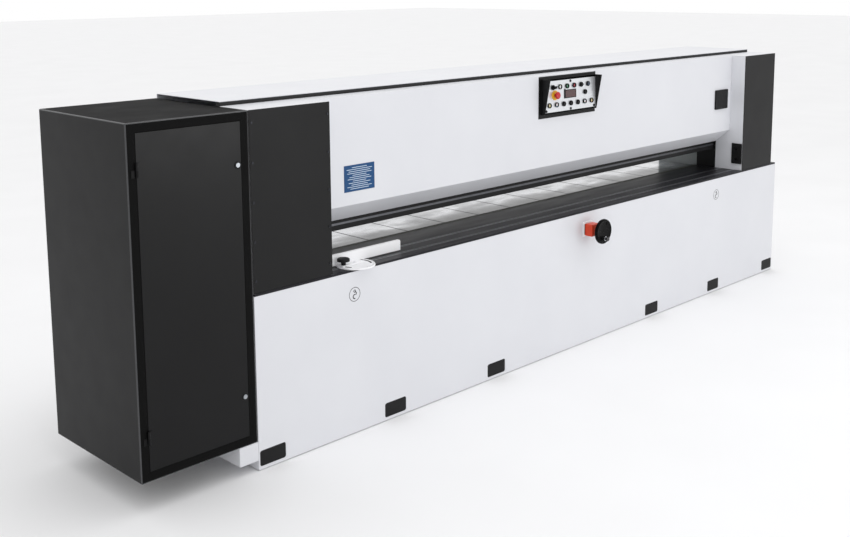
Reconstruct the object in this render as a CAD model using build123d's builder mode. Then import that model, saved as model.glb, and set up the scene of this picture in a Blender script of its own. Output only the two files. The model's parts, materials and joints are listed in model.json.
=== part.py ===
from build123d import *
import os
from math import hypot

os.makedirs("parts", exist_ok=True)

# ------------------------------------------------------------------ driving sizes (millimetres)
# Whole machine. X runs along the length, Y from the operator into the machine, Z up.
body_length = 5115.0        # base, left end to right end
body_depth = 1250.0         # apron front to rear face
body_height = 1760.0        # top of the housings above the floor
upper_depth = 790.0         # apron front to the rear of the upper covers
rear_cover_lift = 218.0     # table to the rear cover
table_height = 882.0
sheet = 3.0                 # covers and panels
weld_gap = 0.1              # joint line between the plates of one fabricated piece
seat = 0.3                  # clearance between a loose piece and its seat
running = 0.05              # radial clearance of a shaft in its bore
cut = 1.0                   # how far a cutting shape runs past the surface it cuts
edge_gap = 4.0              # visible gap between a panel and its neighbour

# Throat and housings
throat_left = 485.0         # base's left end to the throat
throat_right = 535.0        # base's right end to the throat
right_step = 75.0           # the base runs this much past the right housing
apron_drop = 12.0           # table surface above the apron's top edge
cover_lift = 2.0            # end covers above the table surface
housing_side_depth = 230.0  # depth of a housing's inner side, and of the bevel's lower edge
liner_end = 2.0             # liners end this far before the knife's edge
liner_height = 212.0
liner_lip = 30.0

# Front cover, from its upper face down the bevel
cover_setback = 115.0       # upper face behind the apron front
bevel_lift = 209.0          # table to the bevel's lower edge
bevel_height = 98.0
lid_rise = 22.0             # lid's upper face above the housings
lid_front = 234.0
seal_width = 26.0

# Pressure beam, knife and upper beam
clamp_opening = 148.0       # table to the raised pressure beam
pressure_front = 245.0
pressure_thick = 75.0
guide_between = 25.0        # guide bar between the two beams
knife_beam_thick = 50.0
knife_thick = 12.0
knife_height = 130.0
knife_lift = 163.0          # table to the raised knife edge
wing_lift = 388.0           # table to the guided ends of both beams
wing_height = 120.0
knife_beam_lift = 30.0      # knife edge to the knife beam
frame_offset = 60.0         # end frame's inner face outside the throat
frame_thick = 50.0
frame_front = 200.0
frame_rear = 780.0
frame_top_drop = 20.0       # end frame's top below the housings' top
guide_length = 405.0
guide_reach = 40.0          # guide bars stand this far off the end frame
beam_side_gap = 5.0
guide_bar = 30.0            # outer guide bars, along Y
upper_beam_drop = 30.0      # upper beam's top below the housings' top
upper_beam_height = 400.0
upper_beam_gap = 40.0       # knife beam to the upper beam
upper_beam_depth = 280.0
plate = 20.0                # plates of the bed beam and upper beam

# Cylinders
pressure_barrel = 40.0      # outer radius
pressure_bore = 30.0
pressure_rod = 20.0
knife_barrel = 42.0
knife_bore = 34.0
knife_rod = 24.0
barrel_lift = 42.0          # guided ends of the beams to the barrels
barrel_drop = 34.0          # barrels' top below the housings' top
barrel_cap = 16.0
piston_thick = 30.0
piston_gap = 5.0
pressure_pitch = 1000.0
knife_cylinder_inset = 260.0
saddle_width = 60.0         # blocks that carry the barrels on the upper beam
saddle_height = 80.0
saddle_lift = 190.0         # upper beam's underside to the saddles
knife_bolts = 14
knife_bolt_radius = 12.0
knife_bolt_head = 9.0
knife_bolt_drop = 35.0      # below the knife's upper edge
strip_lift = 29.0           # pressure beam's lower edge to its bright strip
strip_band = 11.0
strip_let_in = 4.0
strip_proud = 2.0
tank_inset = 700.0          # throat's left end to the tank
tank_gap = 60.0             # bed beam to the tank
tank_length = 720.0
tank_width = 380.0
pack_headroom = 90.0        # motor to the underside of the table
motor_x = 180.0             # from the tank's left end
motor_flange = 130.0        # radius
motor_flange_thick = 40.0
motor_radius = 100.0
motor_height = 190.0
valve_x = 400.0
valve_length = 220.0
valve_width = 140.0
valve_height = 110.0

# Base frame
rail = 100.0                # square bottom rails
rail_lift = 110.0           # floor to the bottom rails
frame_inset = 10.0          # frame behind the panels
rail_setback = 30.0         # front rails behind the apron
rear_shelf = 130.0          # rear top rail, along Y
post = 60.0
foot_first = 85.0           # first foot from each end of the base
foot_pitch = 825.0
feet_per_side = 3
foot_pad = 45.0             # radius
foot_pad_thick = 14.0
foot_boss = 24.75           # radius
foot_boss_top = 30.0
foot_stud = 12.0            # radius
foot_nut = 20.4             # radius across the corners
foot_nut_thick = 18.0
apron_lift = 4.0
apron_flange = 26.0
cover_margin = 0.6          # access cover's whole play in its opening
slot_width = 157.0
slot_height = 80.0
slot_lift = 20.0
slot_corner = 12.0

# Tables
table_thick = 32.0
strip_depth = 28.0
strip_lead = 9.0            # cutting strip's front edge before the knife's edge
table_joint = 1.0
plate_pitch = 309.0
plate_seam = 1.6
slot_rail_width = 24.0
slot_rail_thick = 14.0
slot_mouth = 10.0
slot_web = 3.0              # material under the T-slot
slot_undercut = 3.0         # T-slot's foot beyond its mouth, each side
slot_foot = 5.0
slot_play = 0.2             # slotted rail in its groove, each side
slot_rail_front = 74.0      # apron front to the first slotted rail's centre
slot_rail_pitch = 106.0
bed_depth = 260.0
bed_front = 200.0
bed_height = 410.0

# Back gauge
gauge_thick = 60.0
gauge_height = 70.0
gauge_room = 210.0          # gauge's face at rest to the rear of the base
gauge_arm = 48.0            # arm width along X
screw_radius = 12.0
screw_drop = 120.0          # table surface to the gauge screws
guide_rod_radius = 12.0
guide_rod_drop = 172.0
gearbox = 80.0
gearbox_gap = 10.0          # gauge at rest to the gearboxes
bearing_thick = 35.0
bearing_gap = 5.0           # bed beam to the front bearings
bearing_over = 30.0         # screw axis to the top of its bearing
gauge_clear = 2.5           # table to the gauge
arm_under = 12.0            # guide rod to the lower end of the gauge's arms
screw_entry = 20.0          # screw and shaft ends in their gearboxes
end_play = 1.0
shaft_gap = 12.0            # gauge screw's axis to the end of the cross shaft
cross_shaft_radius = 10.0

# Handwheel and position indicator
wheel_x = 2612.0            # from the base's left end
wheel_radius = 80.0
wheel_thick = 24.0
wheel_standoff = 114.0      # apron to the wheel's back
grip_radius = 15.0
grip_length = 26.0
grip_offset = 46.0
mount_side = 98.0
mount_thick = 8.0
indicator_width = 78.0
indicator_depth = 62.0
wheel_shaft = 8.0           # radius
wheel_edge = 5.0
wheel_notch = 5.0           # radius
hub_radius = 20.0
hub_gap = 2.0               # hub to the indicator
grip_side = 8.0            # grip axis beside the wheel's
grip_pin = 4.0              # radius
grip_edge = 4.0
indicator_edge = 6.0
shaft_hole = 3.0            # around the wheel's shaft in the apron
beam_hole = 6.0             # and in the bed beam

# Operator console
console_x = 2541.0          # centre from the base's left end
console_opening = 580.0
console_drop = 8.0          # opening's upper edge below the housings' top
console_height = 261.0
console_border = 24.0
console_reach = 72.0        # cheeks in front of the cover, at the top
console_reach_low = 32.0    # and at the bottom
face_top_setback = 52.0     # face behind the cheeks' front edge, at the top
face_low_setback = 5.0
face_thick = 3.0
face_drop = 38.0            # face's upper edge below the housings' top
face_height = 194.0
button_pitch = 72.0
button_row_low = 44.0       # rows above the face's lower edge
button_row_mid = 104.0
button_row_high = 154.0
bezel_radius = 16.0
bezel_thick = 9.0
button_radius = 12.0
button_stand = 11.0         # cap in front of the face
lens_stand = 3.0            # pilot light's lens, sunk in its bezel
button_travel = 4.0
display_width = 104.0
display_height = 46.0
display_depth = 21.5
display_proud = 1.5
stop_radius = 23.0
stop_disc = 31.0
stop_disc_thick = 4.0
stop_x = -158.0             # from the console's centre
stop_lift = 20.0            # face to the mushroom head
stop_head = 14.0
stop_edge = 6.0
black_x = 149.0
stem_radius = 8.0
button_back = 14.0          # length of a button behind the face
lever_width = 5.0
lever_height = 10.0
key_height = 24.0
cut_bezel_radius = 14.5     # button station
cut_bezel_thick = 4.0
cut_button_radius = 10.5
console_depth = 60.0        # cover's face to the back of the console box
console_flange = 20.0
frame_skin = 2.0
box_below = 12.0            # console box below the face
box_above = 14.0
shelf_gap_top = 6.0         # console face to the edge of the box's upper wall
shelf_gap_low = 2.0

# Two-button station on the right housing's inner side
station_depth = 82.0
station_height = 156.0
station_lift = 51.0         # above the table
station_thick = 12.0
station_spacing = 78.0
station_gap = 1.0
cap_edge = 1.5
cap_entry = 4.0             # cap behind the station's face

# Plates on the front cover
inspection_x = 4431.0
inspection_width = 174.0
inspection_height = 146.0
inspection_lift = 175.0     # above the bevel
inspection_thick = 12.0
inspection_corner = 8.0
instruction_x = 290.0       # centre from the throat's left end
instruction_width = 212.0
instruction_height = 140.0
instruction_lift = 70.0     # above the bevel
plate_thin = 1.5
screws_per_edge = 5
screw_head = 6.0            # radius
screw_rise = 2.5
screw_inset = 14.0          # from a cover's side edge
screw_end = 60.0            # from a cover's lower and upper edges

# Fence on the front table
fence_pivot_x = 205.0       # from the throat's left end
fence_pivot_y = 60.0        # from the apron front
protractor_radius = 104.0
protractor_thick = 8.0
arc_slot_radius = 82.0
arc_slot_width = 11.0
arc_slot_angle = 70.0
fence_left = 180.0          # bar's left end from the pivot
fence_length = 540.0
fence_thick = 16.0
fence_height = 58.0
fence_face = 38.0           # bar's front face behind the pivot
bar_corner = 10.0
pivot_radius = 10.0
pivot_height = 14.0
arm_thick = 8.0
arm_margin = 16.0           # arm past the clamp's axis
arm_end = 20.0              # and past the pivot
clamp_stud = 5.0            # radius
clamp_neck = 13.0           # radius
clamp_radius = 33.0
clamp_height = 36.0
clamp_cap = 16.0
clamp_edge = 7.0

# Electrical cabinet
cabinet_width = 629.0
cabinet_depth = 787.0
cabinet_gap = 4.0
cabinet_lift = 150.0
cabinet_border = 43.0
door_gap = 3.0
door_thick = 18.0
hinge_radius = 6.0
hinge_pin = 3.0
hinge_length = 64.0
hinge_inset = 205.0         # hinge centres from the cabinet's top and bottom
lock_inset = 18.0           # lock axis from the door's free edge
lock_height_inset = 208.0
lock_radius = 11.0
bracket_width = 110.0
bracket_height = 96.0
bracket_inset = 200.0       # bracket ends this far before the cabinet's back
hinge_leaf = 2.0
leaf_width = 24.0
lock_proud = 3.0
lock_cam = 3.0
lock_cam_gap = 1.0
cam_half = 7.0
cam_tail = 12.0
cam_reach = 34.0
mount_plate_inset = 40.0
mount_plate_end = 80.0
mount_plate_back = 57.0     # plate's rear face before the cabinet's back
mount_spacer = 20.0
device_rows = 4
device_columns = 5
device_pitch_x = 92.0
device_pitch_z = 330.0
device_width = 66.0
device_height = 110.0
device_depth = 90.0
device_first_x = 50.0
device_first_z = 130.0

# ------------------------------------------------------------------ places worked out from the sizes
wheel_reach = wheel_standoff + wheel_thick + grip_length
total_length = body_length + cabinet_gap + cabinet_width
total_depth = body_depth + wheel_reach
x_left = cabinet_width + cabinet_gap - total_length / 2
x_right = x_left + body_length
y_front = wheel_reach - total_depth / 2
y_rear = y_front + body_depth
apron_top = table_height - apron_drop
table_under = table_height - table_thick
throat_x = (x_left + throat_left, x_right - throat_right)
throat_centre = (throat_x[0] + throat_x[1]) / 2
housing_right = x_right - right_step
frame_x = (throat_x[0] - frame_offset, throat_x[1] + frame_offset)
knife_beam_front = pressure_front + pressure_thick + guide_between
knife_front = knife_beam_front + knife_beam_thick
strip_front = knife_front - strip_lead
front_table_depth = strip_front - table_joint
plates_front = strip_front + strip_depth + table_joint
pressure_low = table_height + clamp_opening
knife_low = table_height + knife_lift
bevel_bottom = table_height + bevel_lift
bevel_top = bevel_bottom + bevel_height
wing_bottom = table_height + wing_lift
wing_top = wing_bottom + wing_height
screw_height = table_height - screw_drop
guide_rod_height = table_height - guide_rod_drop
gauge_rest = body_depth - gauge_room
barrel_bottom = wing_top + barrel_lift
barrel_top = body_height - barrel_drop
beam_x = (throat_x[0] + beam_side_gap, throat_x[1] - beam_side_gap)
wing_x = (frame_x[0] + 2, frame_x[1] - 2)
front_feet = [x_left + foot_first + foot_pitch * n for n in range(feet_per_side)]
front_feet = front_feet + [x_right - foot_first - foot_pitch * n for n in range(feet_per_side)]
front_rail_y = y_front + rail_setback
rear_rail_y = y_rear - frame_inset - rail
base_x = (x_left + frame_inset, x_right - frame_inset)
foot_rows = (front_rail_y + rail / 2, rear_rail_y + rail / 2)


def block(x, y, z, mode=Mode.ADD):
    """A block between the low and high values of x, y and z."""
    with Locations(((x[0] + x[1]) / 2, (y[0] + y[1]) / 2, (z[0] + z[1]) / 2)):
        Box(x[1] - x[0], y[1] - y[0], z[1] - z[0], mode=mode)


def rod_x(x, y, z, radius, mode=Mode.ADD):
    """A round bar along X."""
    with Locations(((x[0] + x[1]) / 2, y, z)):
        Cylinder(radius, x[1] - x[0], rotation=(0, 90, 0), mode=mode)


def rod_y(x, y, z, radius, mode=Mode.ADD):
    """A round bar along Y."""
    with Locations((x, (y[0] + y[1]) / 2, z)):
        Cylinder(radius, y[1] - y[0], rotation=(90, 0, 0), mode=mode)


def rod_z(x, y, z, radius, mode=Mode.ADD):
    """A round bar along Z."""
    with Locations((x, y, (z[0] + z[1]) / 2)):
        Cylinder(radius, z[1] - z[0], mode=mode)


def save(builder, name):
    """Label a finished piece and write its file."""
    builder.part.label = name
    export_step(builder.part, "parts/" + name + ".step")


# ------------------------------------------------------------------ base frame and feet
rail_top = rail_lift + rail
post_top = table_under - post
end_frame_y = (y_front + frame_front, y_front + frame_rear)
gearbox_top = screw_height + gearbox / 2
with BuildPart() as base_frame:
    for y in (front_rail_y, rear_rail_y):
        block(base_x, (y, y + rail), (rail_lift, rail_top))
    cross_y = (front_rail_y + rail + weld_gap, rear_rail_y - weld_gap)
    for x in front_feet:
        block((x - post / 2, x + post / 2), cross_y, (rail_lift, rail_top))
    for x in frame_x:
        outward = -1 if x < throat_centre else 1
        middle = x + outward * frame_thick / 2
        block((middle - post, middle + post), cross_y, (rail_lift, rail_top))
    for x in front_feet:
        front_post = (rail_top + weld_gap, post_top - weld_gap)
        block((x - post / 2, x + post / 2), (front_rail_y, front_rail_y + post), front_post)
        rear_post = (rail_top + weld_gap, gearbox_top - weld_gap)
        rear_post_y = (rear_rail_y + rail - post, rear_rail_y + rail)
        block((x - post / 2, x + post / 2), rear_post_y, rear_post)
    # Rails under the front and rear edges of the table
    block(base_x, (front_rail_y - frame_inset, front_rail_y + post), (post_top, table_under))
    block(base_x, (y_rear - frame_inset - rear_shelf, y_rear - frame_inset), (gearbox_top, table_under))
save(base_frame, "base_frame")

with BuildPart() as levelling_feet:
    for x in front_feet:
        for y in foot_rows:
            rod_z(x, y, (0, foot_pad_thick), foot_pad)
            rod_z(x, y, (foot_pad_thick, foot_boss_top), foot_boss)
            rod_z(x, y, (foot_boss_top, rail_lift), foot_stud)
            with BuildSketch(Plane.XY.offset(rail_lift - foot_nut_thick)):
                with Locations((x, y)):
                    RegularPolygon(foot_nut, 6)
            extrude(amount=foot_nut_thick)
save(levelling_feet, "levelling_feet")

# ------------------------------------------------------------------ base panels
with BuildPart() as front_apron:
    block((x_left, x_right), (y_front, y_front + sheet), (apron_lift, apron_top))
    block((x_left, x_right), (y_front, y_front + apron_flange), (apron_top - sheet, apron_top))
    with BuildSketch(Plane.XZ.offset(-y_front)):
        with Locations([(x, slot_lift + slot_height / 2) for x in front_feet]):
            RectangleRounded(slot_width, slot_height, slot_corner)
    extrude(amount=-sheet, mode=Mode.SUBTRACT)
    hole_y = (y_front - cut, y_front + sheet + cut)
    rod_y(x_left + wheel_x, hole_y, screw_height, wheel_shaft + shaft_hole, Mode.SUBTRACT)
save(front_apron, "front_apron")

with BuildPart() as foot_access_covers:
    with BuildSketch(Plane.XZ.offset(-y_front - 1)):
        with Locations([(x, slot_lift + slot_height / 2) for x in front_feet]):
            cover_size = (slot_width - cover_margin, slot_height - cover_margin)
            RectangleRounded(*cover_size, slot_corner - cover_margin / 2)
    extrude(amount=-sheet)
save(foot_access_covers, "foot_access_covers")

side_y = (y_front + sheet + weld_gap, y_rear - sheet - weld_gap)
panel_top = apron_top
low_y = y_front + upper_depth + sheet
inner_top = panel_top - sheet
with BuildPart() as base_panels:
    block((x_left, x_left + sheet), side_y, (apron_lift, inner_top - weld_gap))
    block((x_right - sheet, x_right), side_y, (apron_lift, inner_top - weld_gap))
    block((x_left, x_right), (y_rear - sheet, y_rear), (apron_lift, table_under))
    back_y = (low_y, y_rear - sheet - weld_gap)
    block((x_left, frame_x[0] - edge_gap), back_y, (inner_top, panel_top))
    block((frame_x[1] + edge_gap, x_right), back_y, (inner_top, panel_top))
    side_strip_y = (y_front + front_table_depth + table_joint, low_y - weld_gap)
    block((housing_right + seat, x_right), side_strip_y, (inner_top, panel_top))
save(base_panels, "base_panels")

# ------------------------------------------------------------------ end frames, bed beam and upper beam
frame_z = (rail_top, body_height - frame_top_drop)
guide_z = (bevel_bottom + edge_gap, bevel_bottom + edge_gap + guide_length)
guide_bars = (
    (pressure_front - guide_bar, pressure_front - seat),
    (pressure_front + pressure_thick + seat, knife_beam_front - seat),
    (knife_front + seat, knife_front + guide_bar),
)
with BuildPart() as end_frames:
    for side, x in zip((-1, 1), frame_x):
        plate_x = sorted((x, x + side * frame_thick))
        bar_x = sorted((x - side * weld_gap, x - side * guide_reach))
        block(plate_x, end_frame_y, frame_z)
        for bar in guide_bars:
            block(bar_x, (y_front + bar[0], y_front + bar[1]), guide_z)
save(end_frames, "end_frames")

bed_top = table_under
bed_bottom = bed_top - bed_height
bed_y = (y_front + bed_front, y_front + bed_front + bed_depth)
span_x = (frame_x[0] + weld_gap, frame_x[1] - weld_gap)
web_z = (bed_bottom + plate + weld_gap, bed_top - plate - weld_gap)
shaft_x = x_left + wheel_x
with BuildPart() as bed_beam:
    block(span_x, (front_rail_y + post + 2, bed_y[1]), (bed_top - plate, bed_top))
    block(span_x, bed_y, (bed_bottom, bed_bottom + plate))
    for y in (bed_y[0], bed_y[1] - plate):
        block(span_x, (y, y + plate), web_z)
        rod_y(shaft_x, (y - cut, y + plate + cut), screw_height, wheel_shaft + beam_hole, Mode.SUBTRACT)
save(bed_beam, "bed_beam")

upper_front = y_front + knife_front + upper_beam_gap
upper_y = (upper_front, upper_front + upper_beam_depth)
upper_top = body_height - upper_beam_drop
upper_z = (upper_top - upper_beam_height, upper_top)
with BuildPart() as upper_beam:
    for z in (upper_z[0], upper_z[1] - plate):
        block(span_x, upper_y, (z, z + plate))
    for y in (upper_y[0], upper_y[1] - plate):
        block(span_x, (y, y + plate), (upper_z[0] + plate + weld_gap, upper_z[1] - plate - weld_gap))
save(upper_beam, "upper_beam")

# ------------------------------------------------------------------ tables
table_z = (table_under, table_height)
rail_centres = (slot_rail_front, slot_rail_front + slot_rail_pitch)
pocket = slot_rail_width + 2 * slot_play
with BuildPart() as front_table:
    table_y = (y_front + apron_flange + table_joint, y_front + front_table_depth)
    block((x_left + sheet + 1, x_right - sheet - 1), table_y, table_z)
    table_x = (x_left + sheet + 1, x_right - sheet - 1)
    block(table_x, (y_front + seat, table_y[0]), (apron_top + seat, table_height))
    for side, x in zip((-1, 1), frame_x):
        notch_x = sorted((x - side, x + side * (frame_thick + 1)))
        notch_y = (end_frame_y[0] - 1, table_y[1] + 1)
        block(notch_x, notch_y, (table_under - 1, table_height + 1), Mode.SUBTRACT)
    for centre in rail_centres:
        groove_y = (y_front + centre - pocket / 2, y_front + centre + pocket / 2)
        block((x_left, x_right), groove_y, (table_height - slot_rail_thick, table_height + 1), Mode.SUBTRACT)
save(front_table, "front_table")

with BuildPart() as table_slot_rails:
    for centre in rail_centres:
        with BuildSketch(Plane.YZ.offset(x_left + sheet + 2)) as rail_profile:
            with Locations((y_front + centre, table_height - slot_rail_thick / 2)):
                Rectangle(slot_rail_width, slot_rail_thick)
            with Locations((y_front + centre, table_height - slot_rail_thick / 2 + slot_web)):
                Rectangle(slot_mouth, slot_rail_thick, mode=Mode.SUBTRACT)
            with Locations((y_front + centre, table_height - slot_rail_thick + slot_web + slot_foot / 2)):
                Rectangle(slot_mouth + 2 * slot_undercut, slot_foot, mode=Mode.SUBTRACT)
        extrude(amount=body_length - 2 * (sheet + 2))
save(table_slot_rails, "table_slot_rails")

strip_y = (y_front + strip_front, y_front + strip_front + strip_depth)
with BuildPart() as cutting_strip:
    block((throat_x[0], throat_x[1]), strip_y, table_z)
save(cutting_strip, "cutting_strip")

plates_y = (y_front + plates_front, y_rear - sheet - 1)
plates_x = (throat_x[0] + 2, throat_x[1] - 2)
plate_edges = [plates_x[0]]
while plate_edges[-1] + 1.5 * plate_pitch < plates_x[1]:
    plate_edges.append(plate_edges[-1] + plate_pitch)
plate_edges.append(plates_x[1])
with BuildPart() as rear_table_plates:
    for left, right in zip(plate_edges[:-1], plate_edges[1:]):
        block((left, right - plate_seam), plates_y, table_z)
save(rear_table_plates, "rear_table_plates")

# ------------------------------------------------------------------ upper covers
cover_y = y_front + cover_setback
bevel_y = y_front + housing_side_depth
opening_x = (x_left + console_x - console_opening / 2, x_left + console_x + console_opening / 2)
opening_z = (body_height - console_drop - console_height, body_height - console_drop)
with BuildPart() as front_cover:
    with BuildSketch(Plane.YZ.offset(throat_x[0])):
        with BuildLine():
            Polyline(
                (cover_y + sheet / 2, body_height - sheet / 2),
                (cover_y + sheet / 2, bevel_top),
                (bevel_y, bevel_bottom + sheet / 2),
            )
        trace(line_width=sheet)
    extrude(amount=throat_x[1] - throat_x[0])
    block(throat_x, (cover_y, bevel_y), (body_height - sheet, body_height))
    block(opening_x, (cover_y - 1, cover_y + 2 * sheet), opening_z, Mode.SUBTRACT)
save(front_cover, "front_cover")

cover_low = table_height + cover_lift
side_low = table_height + seat
housing_back = y_front + upper_depth
lid_under = body_height + lid_rise - sheet
with BuildPart() as housings:
    for side, outer, inner in ((-1, x_left, throat_x[0]), (1, housing_right, throat_x[1])):
        inner_x = sorted((inner + side * weld_gap, inner + side * sheet))
        outer_x = sorted((outer, outer - side * sheet))
        top_x = sorted((outer, inner + side * weld_gap))
        side_z = (side_low, body_height - sheet - weld_gap)
        front_y = y_front + sheet + weld_gap
        block(inner_x, (front_y, y_front + housing_side_depth), side_z)
        block(outer_x, (front_y, housing_back - sheet - weld_gap), side_z)
        block(top_x, (front_y, y_front + housing_side_depth), (body_height - sheet, body_height))
save(housings, "housings")

with BuildPart() as end_covers:
    block((x_left, throat_x[0]), (y_front, y_front + sheet), (cover_low, body_height))
    block((throat_x[1], housing_right), (y_front, y_front + sheet), (cover_low, body_height))
save(end_covers, "end_covers")

with BuildPart() as cover_screws:
    screw_pitch = (body_height - cover_low - 2 * screw_end) / (screws_per_edge - 1)
    left_edges = [x + screw_inset for x in (x_left, throat_x[1])]
    right_edges = [x - screw_inset for x in (throat_x[0], housing_right)]
    for x in left_edges + right_edges:
        for n in range(screws_per_edge):
            z = cover_low + screw_end + n * screw_pitch
            rod_y(x, (y_front - screw_rise, y_front), z, screw_head)
save(cover_screws, "cover_screws")

liner_y = (y_front + housing_side_depth + weld_gap, y_front + knife_front - liner_end)
with BuildPart() as throat_liners:
    for side, x in zip((-1, 1), throat_x):
        skin_x = sorted((x, x + side * sheet))
        lip_x = sorted((x + side * (sheet + weld_gap), x + side * liner_lip))
        block(skin_x, liner_y, (side_low, side_low + liner_height))
        block(lip_x, (liner_y[1] - sheet, liner_y[1]), (side_low, side_low + liner_height))
save(throat_liners, "throat_liners")

rear_low = table_height + rear_cover_lift
with BuildPart() as rear_cover:
    rear_y = (housing_back - sheet, housing_back)
    block((x_left, housing_right), rear_y, (rear_low, lid_under - weld_gap))
save(rear_cover, "rear_cover")

seal_front = y_front + lid_front + edge_gap
with BuildPart() as top_lid:
    block((x_left, housing_right), (y_front + lid_front, housing_back), (lid_under, lid_under + sheet))
    fillet(top_lid.edges().filter_by(Axis.Z), 2)
    seal_z = (frame_z[1] + seat, lid_under - weld_gap)
    block((x_left + sheet + 1, housing_right - sheet - 1), (seal_front, seal_front + seal_width), seal_z)
save(top_lid, "top_lid")

# ------------------------------------------------------------------ plates on the front cover
with BuildPart() as inspection_cover:
    centre = x_left + inspection_x
    inspection_xr = (centre - inspection_width / 2, centre + inspection_width / 2)
    inspection_low = bevel_top + inspection_lift
    inspection_z = (inspection_low, inspection_low + inspection_height)
    block(inspection_xr, (cover_y - inspection_thick, cover_y), inspection_z)
    fillet(inspection_cover.edges().filter_by(Axis.Y), inspection_corner)
save(inspection_cover, "inspection_cover")

with BuildPart() as instruction_plate:
    centre = throat_x[0] + instruction_x
    instruction_xr = (centre - instruction_width / 2, centre + instruction_width / 2)
    instruction_low = bevel_top + instruction_lift
    instruction_z = (instruction_low, instruction_low + instruction_height)
    block(instruction_xr, (cover_y - plate_thin, cover_y), instruction_z)
save(instruction_plate, "instruction_plate")

# ------------------------------------------------------------------ two-button station
station_y = y_front + sheet + station_gap
station_mid = station_y + station_depth / 2
station_low = table_height + station_lift
station_centre = station_low + station_height / 2
cut_button_z = (station_centre + station_spacing / 2, station_centre - station_spacing / 2)
station_face = throat_x[1] - station_thick
with BuildPart() as button_station:
    block((station_face, throat_x[1]), (station_y, station_y + station_depth),
          (station_low, station_low + station_height))
    for z in cut_button_z:
        rod_x((station_face - 1, throat_x[1] - 2), station_mid, z, cut_button_radius + seat, Mode.SUBTRACT)
        rod_x((station_face - cut_bezel_thick, station_face), station_mid, z, cut_bezel_radius)
        bezel_bore_x = (station_face - cut_bezel_thick - 1, station_face + 1)
        rod_x(bezel_bore_x, station_mid, z, cut_button_radius + seat, Mode.SUBTRACT)
save(button_station, "button_station")

for name, z in zip(("upper_cut_button", "lower_cut_button"), cut_button_z):
    with BuildPart() as cut_button:
        cap_x = (station_face - cut_bezel_thick - button_travel, station_face + cap_entry)
        rod_x(cap_x, station_mid, z, cut_button_radius)
        fillet(cut_button.faces().sort_by(Axis.X)[0].edges(), cap_edge)
    save(cut_button, name)

# ------------------------------------------------------------------ operator console
cheek_top_y = cover_y - console_reach
cheek_low_y = cover_y - console_reach_low
face_top_y = cheek_top_y + face_top_setback
face_low_y = cheek_low_y + face_low_setback
cheek_x = (opening_x[0] + console_border, opening_x[1] - console_border)
face_x = (cheek_x[0] + sheet + seat, cheek_x[1] - sheet - seat)
console_back = cover_y + console_depth
face_top = body_height - face_drop
face_low = face_top - face_height
box_z = (face_low - box_below, face_top + box_above)
with BuildPart() as console_housing:
    # Flange around the opening in the front cover
    flange_y = (cover_y - frame_skin, cover_y + console_flange)
    block(opening_x, flange_y, opening_z)
    block(cheek_x, (flange_y[0] - cut, flange_y[1] + cut), box_z, Mode.SUBTRACT)
    # Two tapered cheeks
    for x in (cheek_x[0], cheek_x[1] - sheet):
        with BuildSketch(Plane.YZ.offset(x)):
            with BuildLine():
                Polyline(
                    (console_back, box_z[1]),
                    (cheek_top_y, box_z[1]),
                    (cheek_low_y, box_z[0]),
                    (console_back, box_z[0]),
                    close=True,
                )
            make_face()
        extrude(amount=sheet)
    block(cheek_x, (console_back - sheet, console_back), box_z)
    block(cheek_x, (face_top_y + shelf_gap_top, console_back), (box_z[1] - sheet, box_z[1]))
    block(cheek_x, (face_low_y + shelf_gap_low, console_back), (box_z[0], box_z[0] + sheet))
save(console_housing, "console_housing")

# The face leans back. Its pieces are placed on a plane of their own: x to the right, y up the face,
# z out towards the operator, from the middle of its lower edge.
face_run = face_top_y - face_low_y
face_rise = face_top - face_low
face_length = hypot(face_run, face_rise)
face_plane = Plane(
    origin=(x_left + console_x, face_low_y, face_low),
    x_dir=(1, 0, 0),
    z_dir=(0, -face_rise, face_run),
)
row_low = [(button_pitch * n, button_row_low) for n in range(-3, 4)]
row_high = [(button_pitch * (n + 0.5), button_row_high) for n in range(-3, 3)]
stop_place = (stop_x, button_row_mid)
black_place = (black_x, button_row_mid)
display_place = (0, button_row_mid)
push_places = {
    "blue_button": row_high[5],
    "black_button": black_place,
    "row_button_left": row_low[2],
    "row_button_middle": row_low[3],
    "row_button_right": row_low[4],
}
light_places = [row_high[1], row_high[2], row_high[3], row_low[0], row_low[1], row_low[5], row_low[6]]
rotary_places = {"key_switch": row_high[0], "selector_switch": row_high[4]}
hole_radius = button_radius + seat


def disc(place, low, high, radius, mode=Mode.ADD):
    """A round piece on the console face, between two heights above it."""
    with Locations((place[0], place[1], (low + high) / 2)):
        Cylinder(radius, high - low, mode=mode)


with BuildPart(face_plane) as console_face:
    with Locations((0, face_length / 2, -face_thick / 2)):
        Box(face_x[1] - face_x[0], face_length, face_thick)
    for place in list(push_places.values()) + light_places + list(rotary_places.values()):
        disc(place, -face_thick - 1, 1, hole_radius, Mode.SUBTRACT)
    disc(stop_place, -face_thick - 1, 1, stem_radius + seat, Mode.SUBTRACT)
    with Locations((display_place[0], display_place[1], 0)):
        Box(display_width, display_height, 2 * (face_thick + cut), mode=Mode.SUBTRACT)
save(console_face, "console_face")

with BuildPart(face_plane) as console_display:
    with Locations((display_place[0], display_place[1], display_proud - display_depth / 2)):
        Box(display_width - 2 * seat, display_height - 2 * seat, display_depth)
save(console_display, "console_display")

with BuildPart(face_plane) as button_bezels:
    for place in list(push_places.values()) + light_places + list(rotary_places.values()):
        disc(place, 0, bezel_thick, bezel_radius)
        disc(place, -1, bezel_thick + 1, hole_radius, Mode.SUBTRACT)
save(button_bezels, "button_bezels")

with BuildPart(face_plane) as estop_disc:
    disc(stop_place, 0, stop_disc_thick, stop_disc)
    disc(stop_place, -1, stop_disc_thick + 1, stem_radius + seat, Mode.SUBTRACT)
save(estop_disc, "estop_disc")

with BuildPart(face_plane) as pilot_lights:
    for place in light_places:
        disc(place, -button_back, lens_stand, button_radius)
save(pilot_lights, "pilot_lights")

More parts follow.
